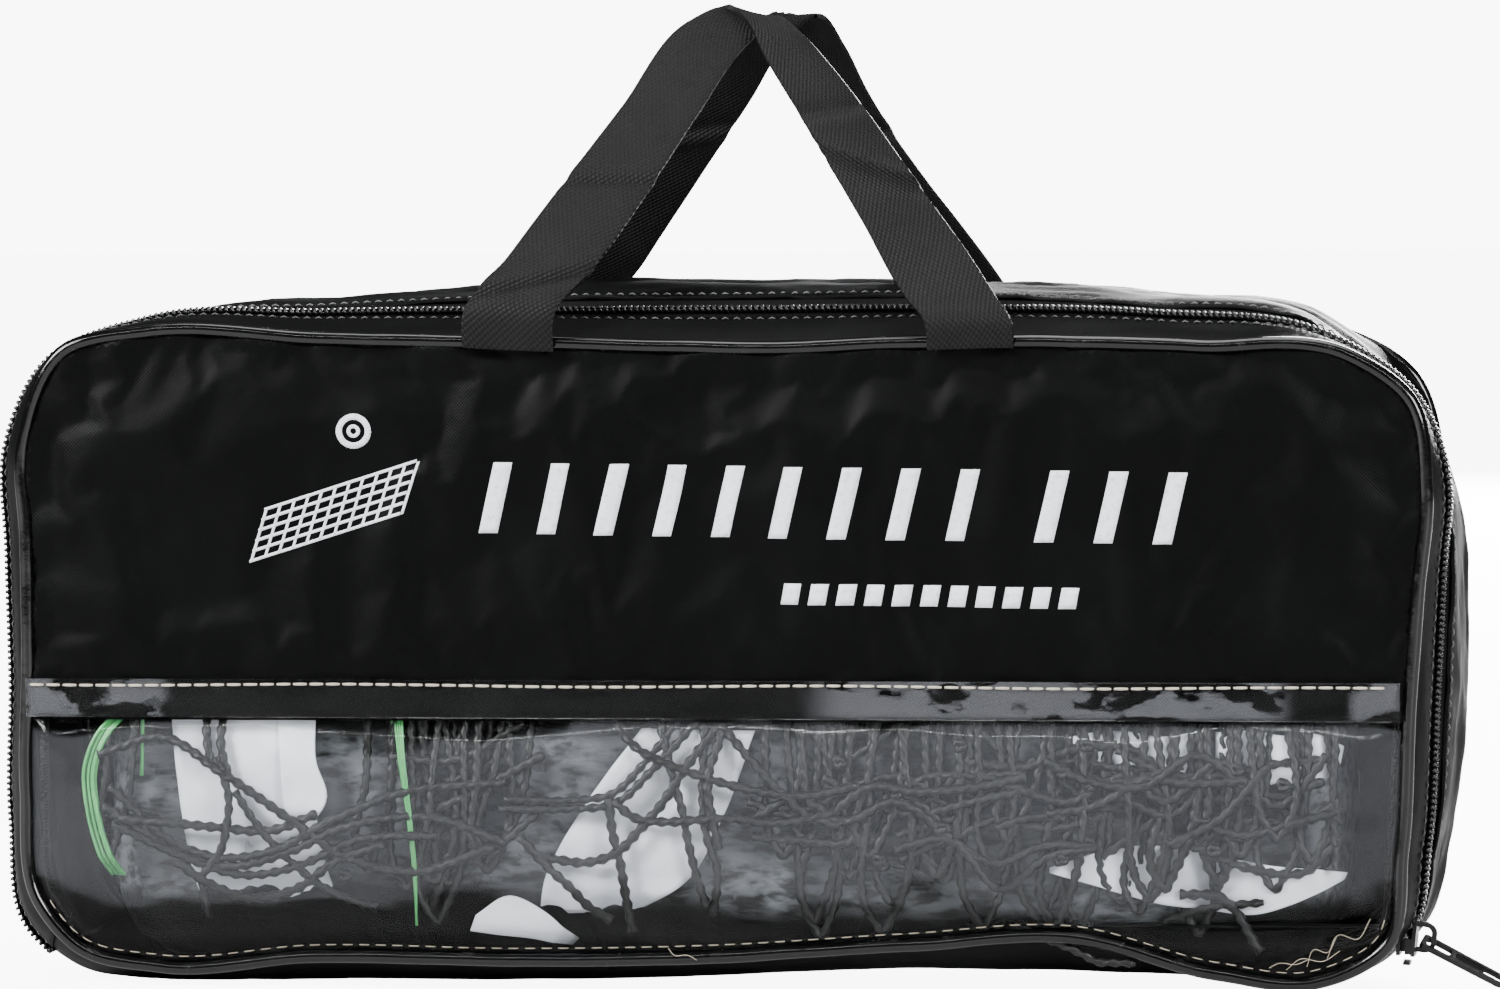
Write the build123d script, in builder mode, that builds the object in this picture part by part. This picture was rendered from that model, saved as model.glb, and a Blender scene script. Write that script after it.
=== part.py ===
from build123d import *
import os
from math import cos, radians, sin, tan

# A volleyball net packed in its carry bag. X runs to the right along the bag, Y runs away from
# its clear window, Z is up. The origin is the middle of the flat bottom that the bag stands on.

# Bag envelope, in millimetres
bag_height = 202.0
bag_half_width = 212.0  # at mid height, round the belly of the side wall
mid_height = bag_height / 2
side_lean = 5.5  # degrees that the belly of each side wall leans outward as it rises
half_depth = 40.0  # from the middle plane to each piped seam
shoulder = 13.0  # depth over which the wall swells from a seam to its full size
belly_low_radius = 8.0
belly_high_radius = 56.0

# Piped seams round the front and back panels
seam_half_width = 206.5
seam_lean = 2.0
seam_low = 7.5
seam_high = 192.5
seam_low_radius = 30.0
seam_high_radius = 36.0
piping_radius = 2.0
piping_gap = 2.4  # from a seam's plane to the edge of the wall cloth
binding_width = 8.0
binding_start = 1.5
binding_inset = 3.2
binding_thickness = 1.0
binding_low = 20.0

# Cloth and film
cloth = 0.8
film = 0.6
panel_inset = piping_radius + 0.05
panel_face = -half_depth - cloth / 2

# Window
hem_low = 80.5
hem_high = 90.0
hem_thickness = 1.0
window_gap = 0.3
window_bulge = 9.4
window_bevel = 10.0
window_high_radius = 2.0

# Zip, in the side wall in front of the bag's middle
zip_depth = -20.0
tape_half_width = 7.0
zip_slot = 0.6  # from the zip's middle line to each row of teeth
coil_half_width = 3.2
coil_height = 1.8
wall_low = 8.0  # where the side wall meets the bottom cloth
stop_height = 1.2
stop_proud = 2.0
stop_rounding = 0.4
stop_gap = 0.2  # from a stop to the first tooth
zip_end_high = 29.7  # top of the short lengths that stay joined at the zip's ends
body_gap = 0.3  # between pieces that move apart

# Carry handles: left and right foot, crown and its inner corner, across and up the webbing
webbing_width = 25.4
webbing = 1.6
tab_face = -43.9
tab_low = 187.0
tab_high = 198.5
tab_bite = 0.05  # how deep the tabs sit in the panel they are sewn to
tab_step_start = 3.2  # below the seam, where a tab starts to step out over the piping
tab_step_face = 2.6
tab_step_end = 1.2
handle_hinge_depth = 45.2
handle_hinge_height = 199.5
handle_height = 99.5
handle_lean = 24.0  # degrees that each handle leans inward, to where they meet
crown_reach = (-10.0, 17.0)  # the crown's outer corners, left and right of its peak
crown_fall = (4.5, 4.0)  # and how far they are below it
crown_fork = (14.0, 20.0)  # right of and below the peak, where the two straps part
front_feet = (-58.5, 78.5)
front_crown = -1.0
back_feet = (-55.5, 69.0)
back_crown = 20.0

# Slider and pull
slider_height = 16.5
slider_length = 11.5
slider_width = 10.6
slider_neck = 7.6
plate = 1.1
plate_rounding = 1.2
running_gap = 0.3
flange = 1.4
flange_setback = 1.2
post_length = 4.0
post_thickness = 0.6
post_setback = 0.8
post_rounding = 0.25
bail_length = 9.0
bail_rise = 5.8
bail_wire = 1.5
bail_width = 2.0
bail_radius = 3.4
pull_pivot = (-1.2, 5.35)  # up the wall from the slider's middle, and out from the wall
pull_length = 28.0
pull_width = 7.0
pull_tip_width = 6.0
pull_head_rounding = 1.4
pull_tip_rounding = 2.9
pull_thickness = 1.5
pull_bar = 1.5
pull_eye_length = 8.0
pull_eye_width = 4.2
pull_eye_rounding = 1.2
pull_slot_length = 6.5
pull_slot_width = 2.4
pull_recess = 0.3
pull_recess_width = 3.4
pull_recess_rounding = 1.2
pull_droop = 27.5
pull_roll = 20.0

# Packed net
net_half_length = 188.0
net_edge_radius = 5.0
bundle_low = 2.9
bundle_high = 112.0
bundle_front = -37.0
tape_fold_back = -37.6
tape_fold_depth = 5.4
tape_fold_rounding = 2.0
loops_back = -43.3
loops_depth = 3.4
loops_low = 20.0
loops_high = 66.0
loops_rounding = 8.0
loops_spans = ((-183.0, -62.0), (-58.0, 60.0), (64.0, 183.0))  # left and right ends of each group
tie_width = 1.5
tie_thickness = 1.1
tie_gap = 0.2
tie_places = (-172.0, -96.0)


def upright(depth):
    """The upright plane across the bag at this depth. Its normal points out of the window."""
    return Plane.XZ.offset(-depth)


def side_plane(side, height):
    """The plane on a side wall at this height: x up along the wall, normal outward."""
    lean = radians(side_lean)
    across = side * (bag_half_width + (height - mid_height) * tan(lean))
    return Plane(
        origin=(across, zip_depth, height),
        x_dir=(side * sin(lean), 0, cos(lean)),
        z_dir=(side * cos(lean), 0, -sin(lean)),
    )


def trapezoid_line(half_width, low, high, low_radius, high_radius, lean=seam_lean):
    """Draws a closed outline with leaning sides and round corners in the current line."""
    foot = half_width + (low - mid_height) * tan(radians(lean))
    head = half_width + (high - mid_height) * tan(radians(lean))
    corners = [(-foot, low), (foot, low), (head, high), (-head, high)]
    radii = [low_radius, low_radius, high_radius, high_radius]
    FilletPolyline(*corners, radius=radii, close=True)


def bag_outline(depth, inset=0.0):
    """The bag's outline at this depth."""
    swell = min(1.0, (half_depth - abs(depth)) / shoulder)
    with BuildSketch() as outline:
        with BuildLine():
            trapezoid_line(
                seam_half_width + swell * (bag_half_width - seam_half_width) - inset,
                seam_low * (1 - swell) + inset,
                seam_high + swell * (bag_height - seam_high) - inset,
                seam_low_radius + swell * (belly_low_radius - seam_low_radius) - inset,
                seam_high_radius + swell * (belly_high_radius - seam_high_radius) - inset,
                seam_lean + swell * (side_lean - seam_lean),
            )
        make_face()
    return outline.sketch


def window_outline(inset):
    """The window's outline, from its seam up to its hem."""
    with BuildSketch() as outline:
        with BuildLine():
            trapezoid_line(
                seam_half_width - panel_inset - inset,
                seam_low + panel_inset + inset,
                hem_low - window_gap - inset,
                seam_low_radius - panel_inset - inset,
                window_high_radius,
            )
        make_face()
    return outline.sketch


def wall_band(front, back, thickness=cloth, proud=0.0):
    """A band of the bag's wall between two depths, standing proud of it by this much."""
    with BuildPart() as band:
        for depth in (front, back):
            with BuildSketch(upright(depth)):
                add(bag_outline(depth, -proud))
        loft(ruled=True)
        for depth in (front, back):
            with BuildSketch(upright(depth)):
                add(bag_outline(depth, thickness - proud))
        loft(ruled=True, mode=Mode.SUBTRACT)
    return band.part


def binding_ring(depth, toward):
    """The binding tape inside the seam at this depth, which lies toward the bag's middle."""
    with BuildPart() as ring:
        with BuildSketch(upright(depth + toward * binding_start)):
            add(bag_outline(half_depth, binding_inset))
            add(bag_outline(half_depth, binding_inset + binding_thickness), mode=Mode.SUBTRACT)
        extrude(amount=-toward * binding_width)
    return ring.part


def piping_ring(depth):
    """The round piping sewn into the seam at this depth."""
    with BuildPart() as ring:
        with BuildLine(upright(depth)) as seam:
            trapezoid_line(seam_half_width, seam_low, seam_high, seam_low_radius, seam_high_radius)
        with BuildSketch(Plane(origin=seam.line @ 0, z_dir=seam.line % 0)):
            Circle(piping_radius)
        sweep(path=seam.line)
    return ring.part


def keep_above(height):
    split(bisect_by=Plane.XY.offset(height), keep=Keep.TOP)


def keep_below(height):
    split(bisect_by=Plane.XY.offset(height), keep=Keep.BOTTOM)


def save(piece, name):
    piece.part.label = name
    export_step(piece.part, f"parts/{name}.step")


os.makedirs("parts", exist_ok=True)
seam_wall = half_depth - piping_gap
belly = half_depth - shoulder
tape_front_edge = zip_depth - tape_half_width
tape_back_edge = zip_depth + tape_half_width
front_teeth_edge = zip_depth - zip_slot
back_teeth_edge = zip_depth + zip_slot
flap_zip_low = zip_end_high + body_gap
coil_low = wall_low + stop_height + stop_gap

# Back of the bag
with BuildPart() as back_panel:
    with BuildSketch(upright(half_depth)):
        add(bag_outline(half_depth, panel_inset))
    extrude(amount=cloth / 2, both=True)
save(back_panel, "back_panel")

with BuildPart() as back_piping:
    add(piping_ring(half_depth))
save(back_piping, "back_piping")

with BuildPart() as back_binding:
    add(binding_ring(half_depth, -1))
save(back_binding, "back_binding")

with BuildPart() as back_gusset:
    add(wall_band(tape_back_edge, belly))
    add(wall_band(belly, seam_wall))
    keep_above(wall_low)
save(back_gusset, "back_gusset")

with BuildPart() as bottom_gusset:
    add(wall_band(-seam_wall, -belly))
    add(wall_band(-belly, belly))
    add(wall_band(belly, seam_wall))
    keep_below(wall_low)
save(bottom_gusset, "bottom_gusset")

# Zip: each tape carries a row of coil teeth, and the slider's post runs in the slot between them
with BuildPart() as back_zip_tape:
    add(wall_band(back_teeth_edge, tape_back_edge))
    keep_above(wall_low)
save(back_zip_tape, "back_zip_tape")

with BuildPart() as back_zip_coil:
    add(wall_band(back_teeth_edge, zip_depth + coil_half_width, coil_height, coil_height))
    keep_above(coil_low)
save(back_zip_coil, "back_zip_coil")

with BuildPart() as zip_end_tapes:
    add(wall_band(tape_front_edge, front_teeth_edge))
    keep_above(wall_low)
    keep_below(zip_end_high)
save(zip_end_tapes, "zip_end_tapes")

with BuildPart() as zip_end_coils:
    add(wall_band(zip_depth - coil_half_width, front_teeth_edge, coil_height, coil_height))
    keep_above(coil_low)
    keep_below(zip_end_high)
save(zip_end_coils, "zip_end_coils")

with BuildPart() as zip_stops:
    for side in (-1, 1):
        with BuildSketch(side_plane(side, wall_low + stop_height / 2)):
            RectangleRounded(stop_height, 2 * coil_half_width, stop_rounding)
        extrude(amount=stop_proud)
save(zip_stops, "zip_stops")

# Flap: the front panel, its window and the wall in front of the zip
with BuildPart() as front_panel:
    with BuildSketch(upright(-half_depth)):
        add(bag_outline(-half_depth, panel_inset))
    extrude(amount=cloth / 2, both=True)
    keep_above(hem_low)
save(front_panel, "front_panel")

with BuildPart() as window_film:
    for skin, mode in ((0.0, Mode.ADD), (film, Mode.SUBTRACT)):
        with BuildSketch(upright(panel_face)):
            add(window_outline(skin))
        with BuildSketch(upright(panel_face - window_bulge + skin)):
            add(window_outline(window_bevel + skin / 2))
        loft(ruled=True, mode=mode)
save(window_film, "window_film")

with BuildPart() as window_hem:
    with BuildSketch(upright(panel_face)):
        add(bag_outline(-half_depth, panel_inset))
    extrude(amount=hem_thickness)
    keep_above(hem_low)
    keep_below(hem_high)
save(window_hem, "window_hem")

with BuildPart() as front_piping:
    add(piping_ring(-half_depth))
save(front_piping, "front_piping")

with BuildPart() as front_binding:
    add(binding_ring(-half_depth, 1))
    keep_above(binding_low)
save(front_binding, "front_binding")

with BuildPart() as front_gusset:
    add(wall_band(-seam_wall, -belly))
    keep_above(wall_low + body_gap)
save(front_gusset, "front_gusset")

with BuildPart() as front_zip_tape:
    add(wall_band(tape_front_edge, front_teeth_edge))
    keep_above(flap_zip_low)
save(front_zip_tape, "front_zip_tape")

with BuildPart() as front_zip_coil:
    add(wall_band(zip_depth - coil_half_width, front_teeth_edge, coil_height, coil_height))
    keep_above(flap_zip_low)
save(front_zip_coil, "front_zip_coil")

# Handle tabs: the sewn ends of each strap, which step from the panel over the piping
tab_profile = [
    (panel_face - tab_bite, tab_low),
    (panel_face - tab_bite, seam_high - tab_step_start),
    (tab_face + webbing, seam_high - tab_step_end),
    (tab_face + webbing, tab_high),
    (tab_face, tab_high),
    (tab_face, seam_high - tab_step_face),
    (panel_face - webbing, tab_low),
]


def handle_tabs(feet, side):
    """The two sewn ends of a handle, in front of the bag for side 1 and behind it for -1."""
    with BuildPart() as tabs:
        for foot in feet:
            with BuildSketch(Plane.YZ.offset(foot)):
                Polygon(*[(side * depth, height) for depth, height in tab_profile], align=None)
            extrude(amount=webbing_width / 2, both=True)
    return tabs.part


def handle_loop(feet, crown, side):
    """A handle's free loop: two straps that lean in to a folded crown."""
    lean = radians(handle_lean)
    strap_plane = Plane(
        origin=(0, -side * handle_hinge_depth, handle_hinge_height),
        x_dir=(1, 0, 0),
        z_dir=(0, -cos(lean), side * sin(lean)),
    )
    half = webbing_width / 2
    left_corner = (crown + crown_reach[0], handle_height - crown_fall[0])
    peak = (crown, handle_height)
    right_corner = (crown + crown_reach[1], handle_height - crown_fall[1])
    fork = (crown + crown_fork[0], handle_height - crown_fork[1])
    left_strap = [(feet[0] + half, 0), (feet[0] - half, 0)]
    right_strap = [(feet[1] + half, 0), (feet[1] - half, 0)]
    with BuildPart() as loop:
        with BuildSketch(strap_plane):
            Polygon(*left_strap, left_corner, peak, right_corner, *right_strap, fork, align=None)
        extrude(amount=webbing / 2, both=True)
        with BuildSketch(strap_plane.offset(side * webbing / 2)):
            Polygon(left_corner, peak, right_corner, fork, align=None)
        extrude(amount=side * webbing)
    return loop.part


with BuildPart() as front_handle_tabs:
    add(handle_tabs(front_feet, 1))
save(front_handle_tabs, "front_handle_tabs")

with BuildPart() as back_handle_tabs:
    add(handle_tabs(back_feet, -1))
save(back_handle_tabs, "back_handle_tabs")

with BuildPart() as front_handle:
    add(handle_loop(front_feet, front_crown, 1))
save(front_handle, "front_handle")

with BuildPart() as back_handle:
    add(handle_loop(back_feet, back_crown, -1))
save(back_handle, "back_handle")

# Slider: two plates round the teeth, joined by a post that runs in the slot between the rows
slider_plane = side_plane(1, slider_height)
section_plane = Plane(origin=slider_plane.origin, x_dir=slider_plane.x_dir, z_dir=(0, 1, 0))
under_plate = -cloth - running_gap
over_plate = coil_height + running_gap
slider_face = over_plate + plate
flange_middle = coil_half_width + running_gap + flange / 2
shield = [
    (-slider_length / 2, -slider_width / 2),
    (0, -slider_width / 2),
    (slider_length / 2, -slider_neck / 2),
    (slider_length / 2, slider_neck / 2),
    (0, slider_width / 2),
    (-slider_length / 2, slider_width / 2),
]

with BuildPart() as slider_body:
    for level in (under_plate - plate, over_plate):
        with BuildSketch(slider_plane.offset(level)):
            Polygon(*shield, align=None)
            fillet(vertices(), plate_rounding)
        extrude(amount=plate)
    with BuildSketch(slider_plane.offset(running_gap)):
        with Locations((-slider_length / 4, flange_middle), (-slider_length / 4, -flange_middle)):
            Rectangle(slider_length / 2 - flange_setback, flange)
    extrude(until=Until.NEXT)
    with BuildSketch(slider_plane.offset(under_plate)):
        with Locations(((post_length - slider_length) / 2 + post_setback, 0)):
            RectangleRounded(post_length, post_thickness, post_rounding)
    extrude(amount=over_plate - under_plate)
save(slider_body, "slider_body")

with BuildPart() as slider_bail:
    with BuildSketch(section_plane):
        with Locations((0, slider_face)):
            RectangleRounded(bail_length, 2 * bail_rise, bail_radius)
            inner = (bail_length - 2 * bail_wire, 2 * (bail_rise - bail_wire))
            RectangleRounded(*inner, bail_radius - bail_wire, mode=Mode.SUBTRACT)
            Rectangle(
                bail_length, bail_rise, align=(Align.CENTER, Align.MAX), mode=Mode.SUBTRACT
            )
    extrude(amount=bail_width / 2, both=True)
save(slider_bail, "slider_bail")

pull_origin = section_plane.from_local_coords((pull_pivot[0], pull_pivot[1], 0))
droop = radians(pull_droop)
roll = radians(pull_roll)
pull_plane = Plane(
    origin=pull_origin,
    x_dir=(cos(droop), 0, -sin(droop)),
    z_dir=(sin(droop) * cos(roll), -sin(roll), cos(droop) * cos(roll)),
)
pull_end = pull_length - pull_bar / 2
eye_middle = pull_bar / 2 + pull_eye_length / 2
slot_middle = pull_end - pull_bar - pull_slot_length / 2
recess_low = pull_bar / 2 + pull_eye_length + pull_bar
recess_high = pull_end - pull_bar

with BuildPart() as pull_tab:
    with BuildSketch(pull_plane):
        Polygon(
            (-pull_bar / 2, -pull_width / 2),
            (pull_end, -pull_tip_width / 2),
            (pull_end, pull_tip_width / 2),
            (-pull_bar / 2, pull_width / 2),
            align=None,
        )
        fillet(vertices().group_by(Axis.X)[0], pull_head_rounding)
        fillet(vertices().group_by(Axis.X)[-1], pull_tip_rounding)
        with Locations((eye_middle, 0)):
            RectangleRounded(
                pull_eye_length, pull_eye_width, pull_eye_rounding, mode=Mode.SUBTRACT
            )
        with Locations((slot_middle, 0)):
            SlotOverall(pull_slot_length, pull_slot_width, mode=Mode.SUBTRACT)
    extrude(amount=pull_thickness / 2, both=True)
    for face in (-1, 1):
        with BuildSketch(pull_plane.offset(face * pull_thickness / 2)):
            with Locations(((recess_low + recess_high) / 2, 0)):
                RectangleRounded(
                    recess_high - recess_low, pull_recess_width, pull_recess_rounding
                )
        extrude(amount=-face * pull_recess, mode=Mode.SUBTRACT)
save(pull_tab, "pull_tab")

# Packed net: a rolled bundle, the white tapes folded in front of it, loose turns over them,
# and the twine ties round them all
bundle_back_girth = [
    (-26.0, bundle_low),
    (26.0, bundle_low),
    (28.0, 12.0),
    (36.5, 21.0),
    (36.5, 80.0),
    (24.0, 104.0),
    (0.0, bundle_high),
    (-24.0, 104.0),
]
bundle_front_girth = [(bundle_front, 82.0), (bundle_front, 20.5), (-28.0, 12.0)]
tie_front_girth = [
    (bundle_front, 84.0),
    (bundle_front, 77.0),
    (loops_back - loops_depth, loops_high),
    (loops_back - loops_depth, loops_low),
]

with BuildPart() as net_mesh:
    with BuildSketch(Plane.YZ):
        Polygon(*bundle_back_girth, *bundle_front_girth, align=None)
    extrude(amount=net_half_length, both=True)
    fillet(net_mesh.faces().filter_by(Axis.X).edges(), net_edge_radius)
save(net_mesh, "net_mesh")

headband_folds = [
    [(-167.0, 20.0), (-118.0, 20.0), (-120.0, 72.0), (-169.0, 72.0)],
    [(-58.0, 20.0), (-12.0, 20.0), (23.0, 72.0), (-6.0, 72.0)],
]
side_tape_folds = [[(112.0, 24.0), (146.0, 24.0), (150.0, 72.0), (104.0, 70.0)]]
bottom_tape_folds = [[(152.0, 30.0), (185.0, 24.0), (186.0, 68.0), (156.0, 72.0)]]


def folded_tape(folds):
    """Flat stacks of folded tape that lie against the front of the bundle."""
    with BuildPart() as tape:
        for fold in folds:
            with BuildSketch(upright(tape_fold_back)):
                Polygon(*fold, align=None)
                fillet(vertices(), tape_fold_rounding)
            extrude(amount=tape_fold_depth)
    return tape.part


with BuildPart() as headband_tape:
    add(folded_tape(headband_folds))
save(headband_tape, "headband_tape")

with BuildPart() as side_tape:
    add(folded_tape(side_tape_folds))
save(side_tape, "side_tape")

with BuildPart() as bottom_tape:
    add(folded_tape(bottom_tape_folds))
save(bottom_tape, "bottom_tape")

with BuildPart() as net_loops:
    for start, end in loops_spans:
        with BuildSketch(upright(loops_back)):
            with Locations(((start + end) / 2, (loops_low + loops_high) / 2)):
                RectangleRounded(end - start, loops_high - loops_low, loops_rounding)
        extrude(amount=loops_depth)
save(net_loops, "net_loops")

with BuildPart() as net_ties:
    for place in tie_places:
        with BuildSketch(Plane.YZ.offset(place)):
            for reach, mode in ((tie_gap + tie_thickness, Mode.ADD), (tie_gap, Mode.SUBTRACT)):
                with BuildSketch(mode=Mode.PRIVATE) as turn:
                    Polygon(*bundle_back_girth, *tie_front_girth, align=None)
                    offset(amount=reach, kind=Kind.ARC)
                add(turn.sketch, mode=mode)
        extrude(amount=tie_width / 2, both=True)
save(net_ties, "net_ties")
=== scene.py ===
from math import cos, pi, radians, sin, tau

import bpy
import numpy as np
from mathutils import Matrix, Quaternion, Vector, noise
from mathutils.bvhtree import BVHTree
from mathutils.geometry import delaunay_2d_cdt


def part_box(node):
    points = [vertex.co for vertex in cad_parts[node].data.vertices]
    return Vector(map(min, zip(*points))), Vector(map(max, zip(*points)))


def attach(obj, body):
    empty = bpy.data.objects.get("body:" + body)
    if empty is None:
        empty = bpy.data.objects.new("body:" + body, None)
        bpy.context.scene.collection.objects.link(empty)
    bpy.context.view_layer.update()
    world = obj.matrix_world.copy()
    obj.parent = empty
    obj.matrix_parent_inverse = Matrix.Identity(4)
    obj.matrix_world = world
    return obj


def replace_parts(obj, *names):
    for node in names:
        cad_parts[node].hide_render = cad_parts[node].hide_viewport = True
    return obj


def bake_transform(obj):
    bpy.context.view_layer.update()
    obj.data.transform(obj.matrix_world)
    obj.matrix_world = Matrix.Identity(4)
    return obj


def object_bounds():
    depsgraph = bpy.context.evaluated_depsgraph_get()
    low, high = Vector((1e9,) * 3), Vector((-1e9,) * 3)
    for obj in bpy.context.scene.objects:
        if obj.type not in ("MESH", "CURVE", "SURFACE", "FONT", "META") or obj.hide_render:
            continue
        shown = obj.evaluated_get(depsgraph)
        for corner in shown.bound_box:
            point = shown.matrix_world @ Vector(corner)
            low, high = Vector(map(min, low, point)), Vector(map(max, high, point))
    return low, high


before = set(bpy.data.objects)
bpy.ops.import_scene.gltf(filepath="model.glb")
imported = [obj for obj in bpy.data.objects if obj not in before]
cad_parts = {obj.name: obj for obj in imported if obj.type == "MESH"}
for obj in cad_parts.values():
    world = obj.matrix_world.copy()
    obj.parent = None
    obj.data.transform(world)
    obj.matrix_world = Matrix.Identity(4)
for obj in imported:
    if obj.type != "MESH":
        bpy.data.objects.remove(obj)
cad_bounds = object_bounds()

# A net packed in its zipped carry bag. Shapes are worked out in millimetres, in the frame's axes:
# X to the right, Y away from the window, Z up.
MM = 0.001
seed = 7
rng = np.random.default_rng(seed)


def box_mm(node):
    """Lowest and highest corner of a CAD node, in millimetres."""
    low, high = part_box(node)
    return np.array(low) / MM, np.array(high) / MM


def middle(node):
    low, high = box_mm(node)
    return (low + high) / 2


front_depth = middle("front_piping")[1]
back_depth = middle("back_piping")[1]
zip_depth = middle("slider_body")[1]
belly_depth = 25.0
ribbon_low = box_mm("front_binding")[0][2]  # the flap folds below this, so its ribbon ends here
tape_edge_front = box_mm("front_zip_tape")[0][1]
tape_edge_back = box_mm("back_zip_tape")[1][1]
film_front = box_mm("window_film")[0][1]
handle_hinge = box_mm("front_handle")[0][2]

# Outlines of the stuffed bag at four depths: (x, z) counter-clockwise from the middle of the bottom.
# The points of the four lists match, so that the wall is lofted from one to the next.
FRONT_SEAM = [
    (-0.7, 10.3), (59.6, 14.4), (109.1, 16.9), (150.3, 6.7), (179.7, 4.7), (200.2, 15.7),
    (204.7, 43.5), (207.2, 87.4), (209.7, 119.5), (212.2, 148.6), (207.6, 174.8), (189.3, 187.9),
    (147.0, 190.5), (73.4, 191.8), (14.1, 190.1), (-45.6, 191.6), (-114.6, 192.9), (-168.5, 195.0),
    (-193.8, 189.1), (-206.1, 162.9), (-205.6, 133.1), (-205.5, 97.3), (-206.5, 58.4), (-202.8, 24.6),
    (-191.6, 11.8), (-165.7, 6.0), (-120.0, 9.3), (-56.5, 8.9),
]
ZIP_LINE = [
    (0.0, 2.9), (60.0, 5.3), (117.0, 5.2), (160.0, 4.2), (191.0, 6.0), (205.3, 19.5), (209.8, 43.1),
    (212.6, 88.7), (215.0, 129.8), (216.3, 147.4), (206.9, 174.6), (181.4, 192.2), (129.9, 198.7),
    (70.6, 200.3), (10.8, 200.1), (-49.3, 199.9), (-118.7, 199.4), (-171.0, 197.7), (-203.0, 184.6),
    (-215.1, 160.3), (-215.0, 128.7), (-214.3, 89.6), (-214.8, 47.4), (-210.3, 15.8), (-196.5, 4.4),
    (-170.4, 0.2), (-127.5, 0.6), (-60.5, 0.9),
]
BELLY = [
    (0.0, 2.9), (62.0, 5.3), (120.0, 5.2), (165.0, 3.4), (194.0, 6.0), (203.6, 14.7), (212.4, 43.2),
    (217.3, 85.0), (217.8, 111.9), (215.2, 141.6), (194.5, 179.7), (172.2, 197.8), (124.3, 203.1),
    (64.1, 206.9), (3.4, 206.5), (-57.7, 205.9), (-119.3, 202.0), (-165.9, 197.6), (-206.0, 181.0),
    (-217.0, 156.0), (-218.5, 125.0), (-217.5, 90.0), (-215.0, 50.0), (-208.0, 16.0), (-194.0, 3.0),
    (-165.0, 0.5), (-120.0, 0.2), (-62.0, 0.6),
]
BACK_SEAM = [
    (0, 6.5), (60, 7.5), (118, 6.5), (159, 5.5), (186, 9.5), (200.5, 23), (205, 48), (206.5, 90),
    (208, 122), (208.5, 150), (200.6, 178), (176, 192), (131, 194), (60, 192.5), (0, 191.5),
    (-60, 192.5), (-131, 194), (-177, 192), (-200.6, 179), (-208.5, 152), (-208, 125), (-206.5, 90),
    (-205, 50), (-199, 22), (-184, 9), (-159, 5.5), (-118, 6.5), (-60, 7.5),
]
LOOP = len(FRONT_SEAM)
right_foot, left_foot = 4.9, 23.55  # places on the outlines where the zip begins and ends


# ---- Curves -------------------------------------------------------------------------------------


def spline(points, u, closed=True):
    """Smooth curve through points, at places u that count its points from 0."""
    p = np.asarray(points, float)
    ends = np.roll(p, -1, 0) - p
    if not closed:
        ends[-1] = ends[-2]
    step = np.linalg.norm(ends, axis=1)[:, None]
    slope = ends / step
    slope_before, step_before = np.roll(slope, 1, 0), np.roll(step, 1, 0)
    if not closed:
        slope_before[0], step_before[0] = slope[0], step[0]
    tangent = (slope * step_before + slope_before * step) / (step + step_before)
    u = np.asarray(u, float)
    i = np.floor(u).astype(int)
    if closed:
        i, t = i % len(p), (u - np.floor(u))[:, None]
    else:
        i = np.clip(i, 0, len(p) - 2)
        t = (u - i)[:, None]
    j, reach = (i + 1) % len(p), step[i]
    return (
        (2 * t**3 - 3 * t**2 + 1) * p[i]
        + (t**3 - 2 * t**2 + t) * reach * tangent[i]
        + (3 * t**2 - 2 * t**3) * p[j]
        + (t**3 - t**2) * reach * tangent[j]
    )


def lengths(path):
    """Distance along a path to each of its points."""
    return np.concatenate([[0], np.cumsum(np.linalg.norm(np.diff(path, axis=0), axis=1))])


def even(path, step):
    """The same path with its points an even step apart."""
    path = np.asarray(path, float)
    along = lengths(path)
    wanted = np.linspace(0, along[-1], max(3, int(round(along[-1] / step)) + 1))
    return np.stack([np.interp(wanted, along, path[:, k]) for k in range(path.shape[1])], axis=1)


def route(points, step):
    """Even points along a smooth open curve through points."""
    places = np.linspace(0, len(points) - 1, 24 * len(points))
    return even(spline(points, places, closed=False), step)


def unit(v):
    return v / np.maximum(np.linalg.norm(v, axis=-1, keepdims=True), 1e-9)


def ease(t):
    t = np.clip(t, 0, 1)
    return t * t * (3 - 2 * t)


def swell(t):
    """Rises fast from a seam and flattens out, as stuffed cloth does."""
    return 1 - (1 - np.clip(t, 0, 1)) ** 2.3


def shell(u, depth):
    """Points of the bag's wall at places u round the outlines and at these depths."""
    u, depth = np.broadcast_arrays(np.asarray(u, float), np.asarray(depth, float))
    flat_u, y = u.ravel(), depth.ravel()
    front, zipped, belly, back = (spline(o, flat_u) for o in (FRONT_SEAM, ZIP_LINE, BELLY, BACK_SEAM))
    t = np.clip((y - front_depth) / (zip_depth - front_depth), 0, 1)
    a = (t * (1.35 - 0.35 * t))[:, None]
    b = (1 - np.exp(-np.maximum(y - zip_depth, 0) / 9))[:, None]
    c = 1 - swell((back_depth - y) / (back_depth - belly_depth))[:, None]
    xz = front * (1 - a) + zipped * a
    xz = xz * (1 - b) + belly * b
    xz = xz * (1 - c) + back * c
    return np.stack([xz[:, 0], y, xz[:, 1]], axis=1).reshape(*u.shape, 3)


def wall_normals(points):
    """Outward normals of a grid of wall points, rows in depth and columns round the bag."""
    across, round_it = np.gradient(points, axis=0), np.gradient(points, axis=1)
    return unit(np.cross(across, round_it))


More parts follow.
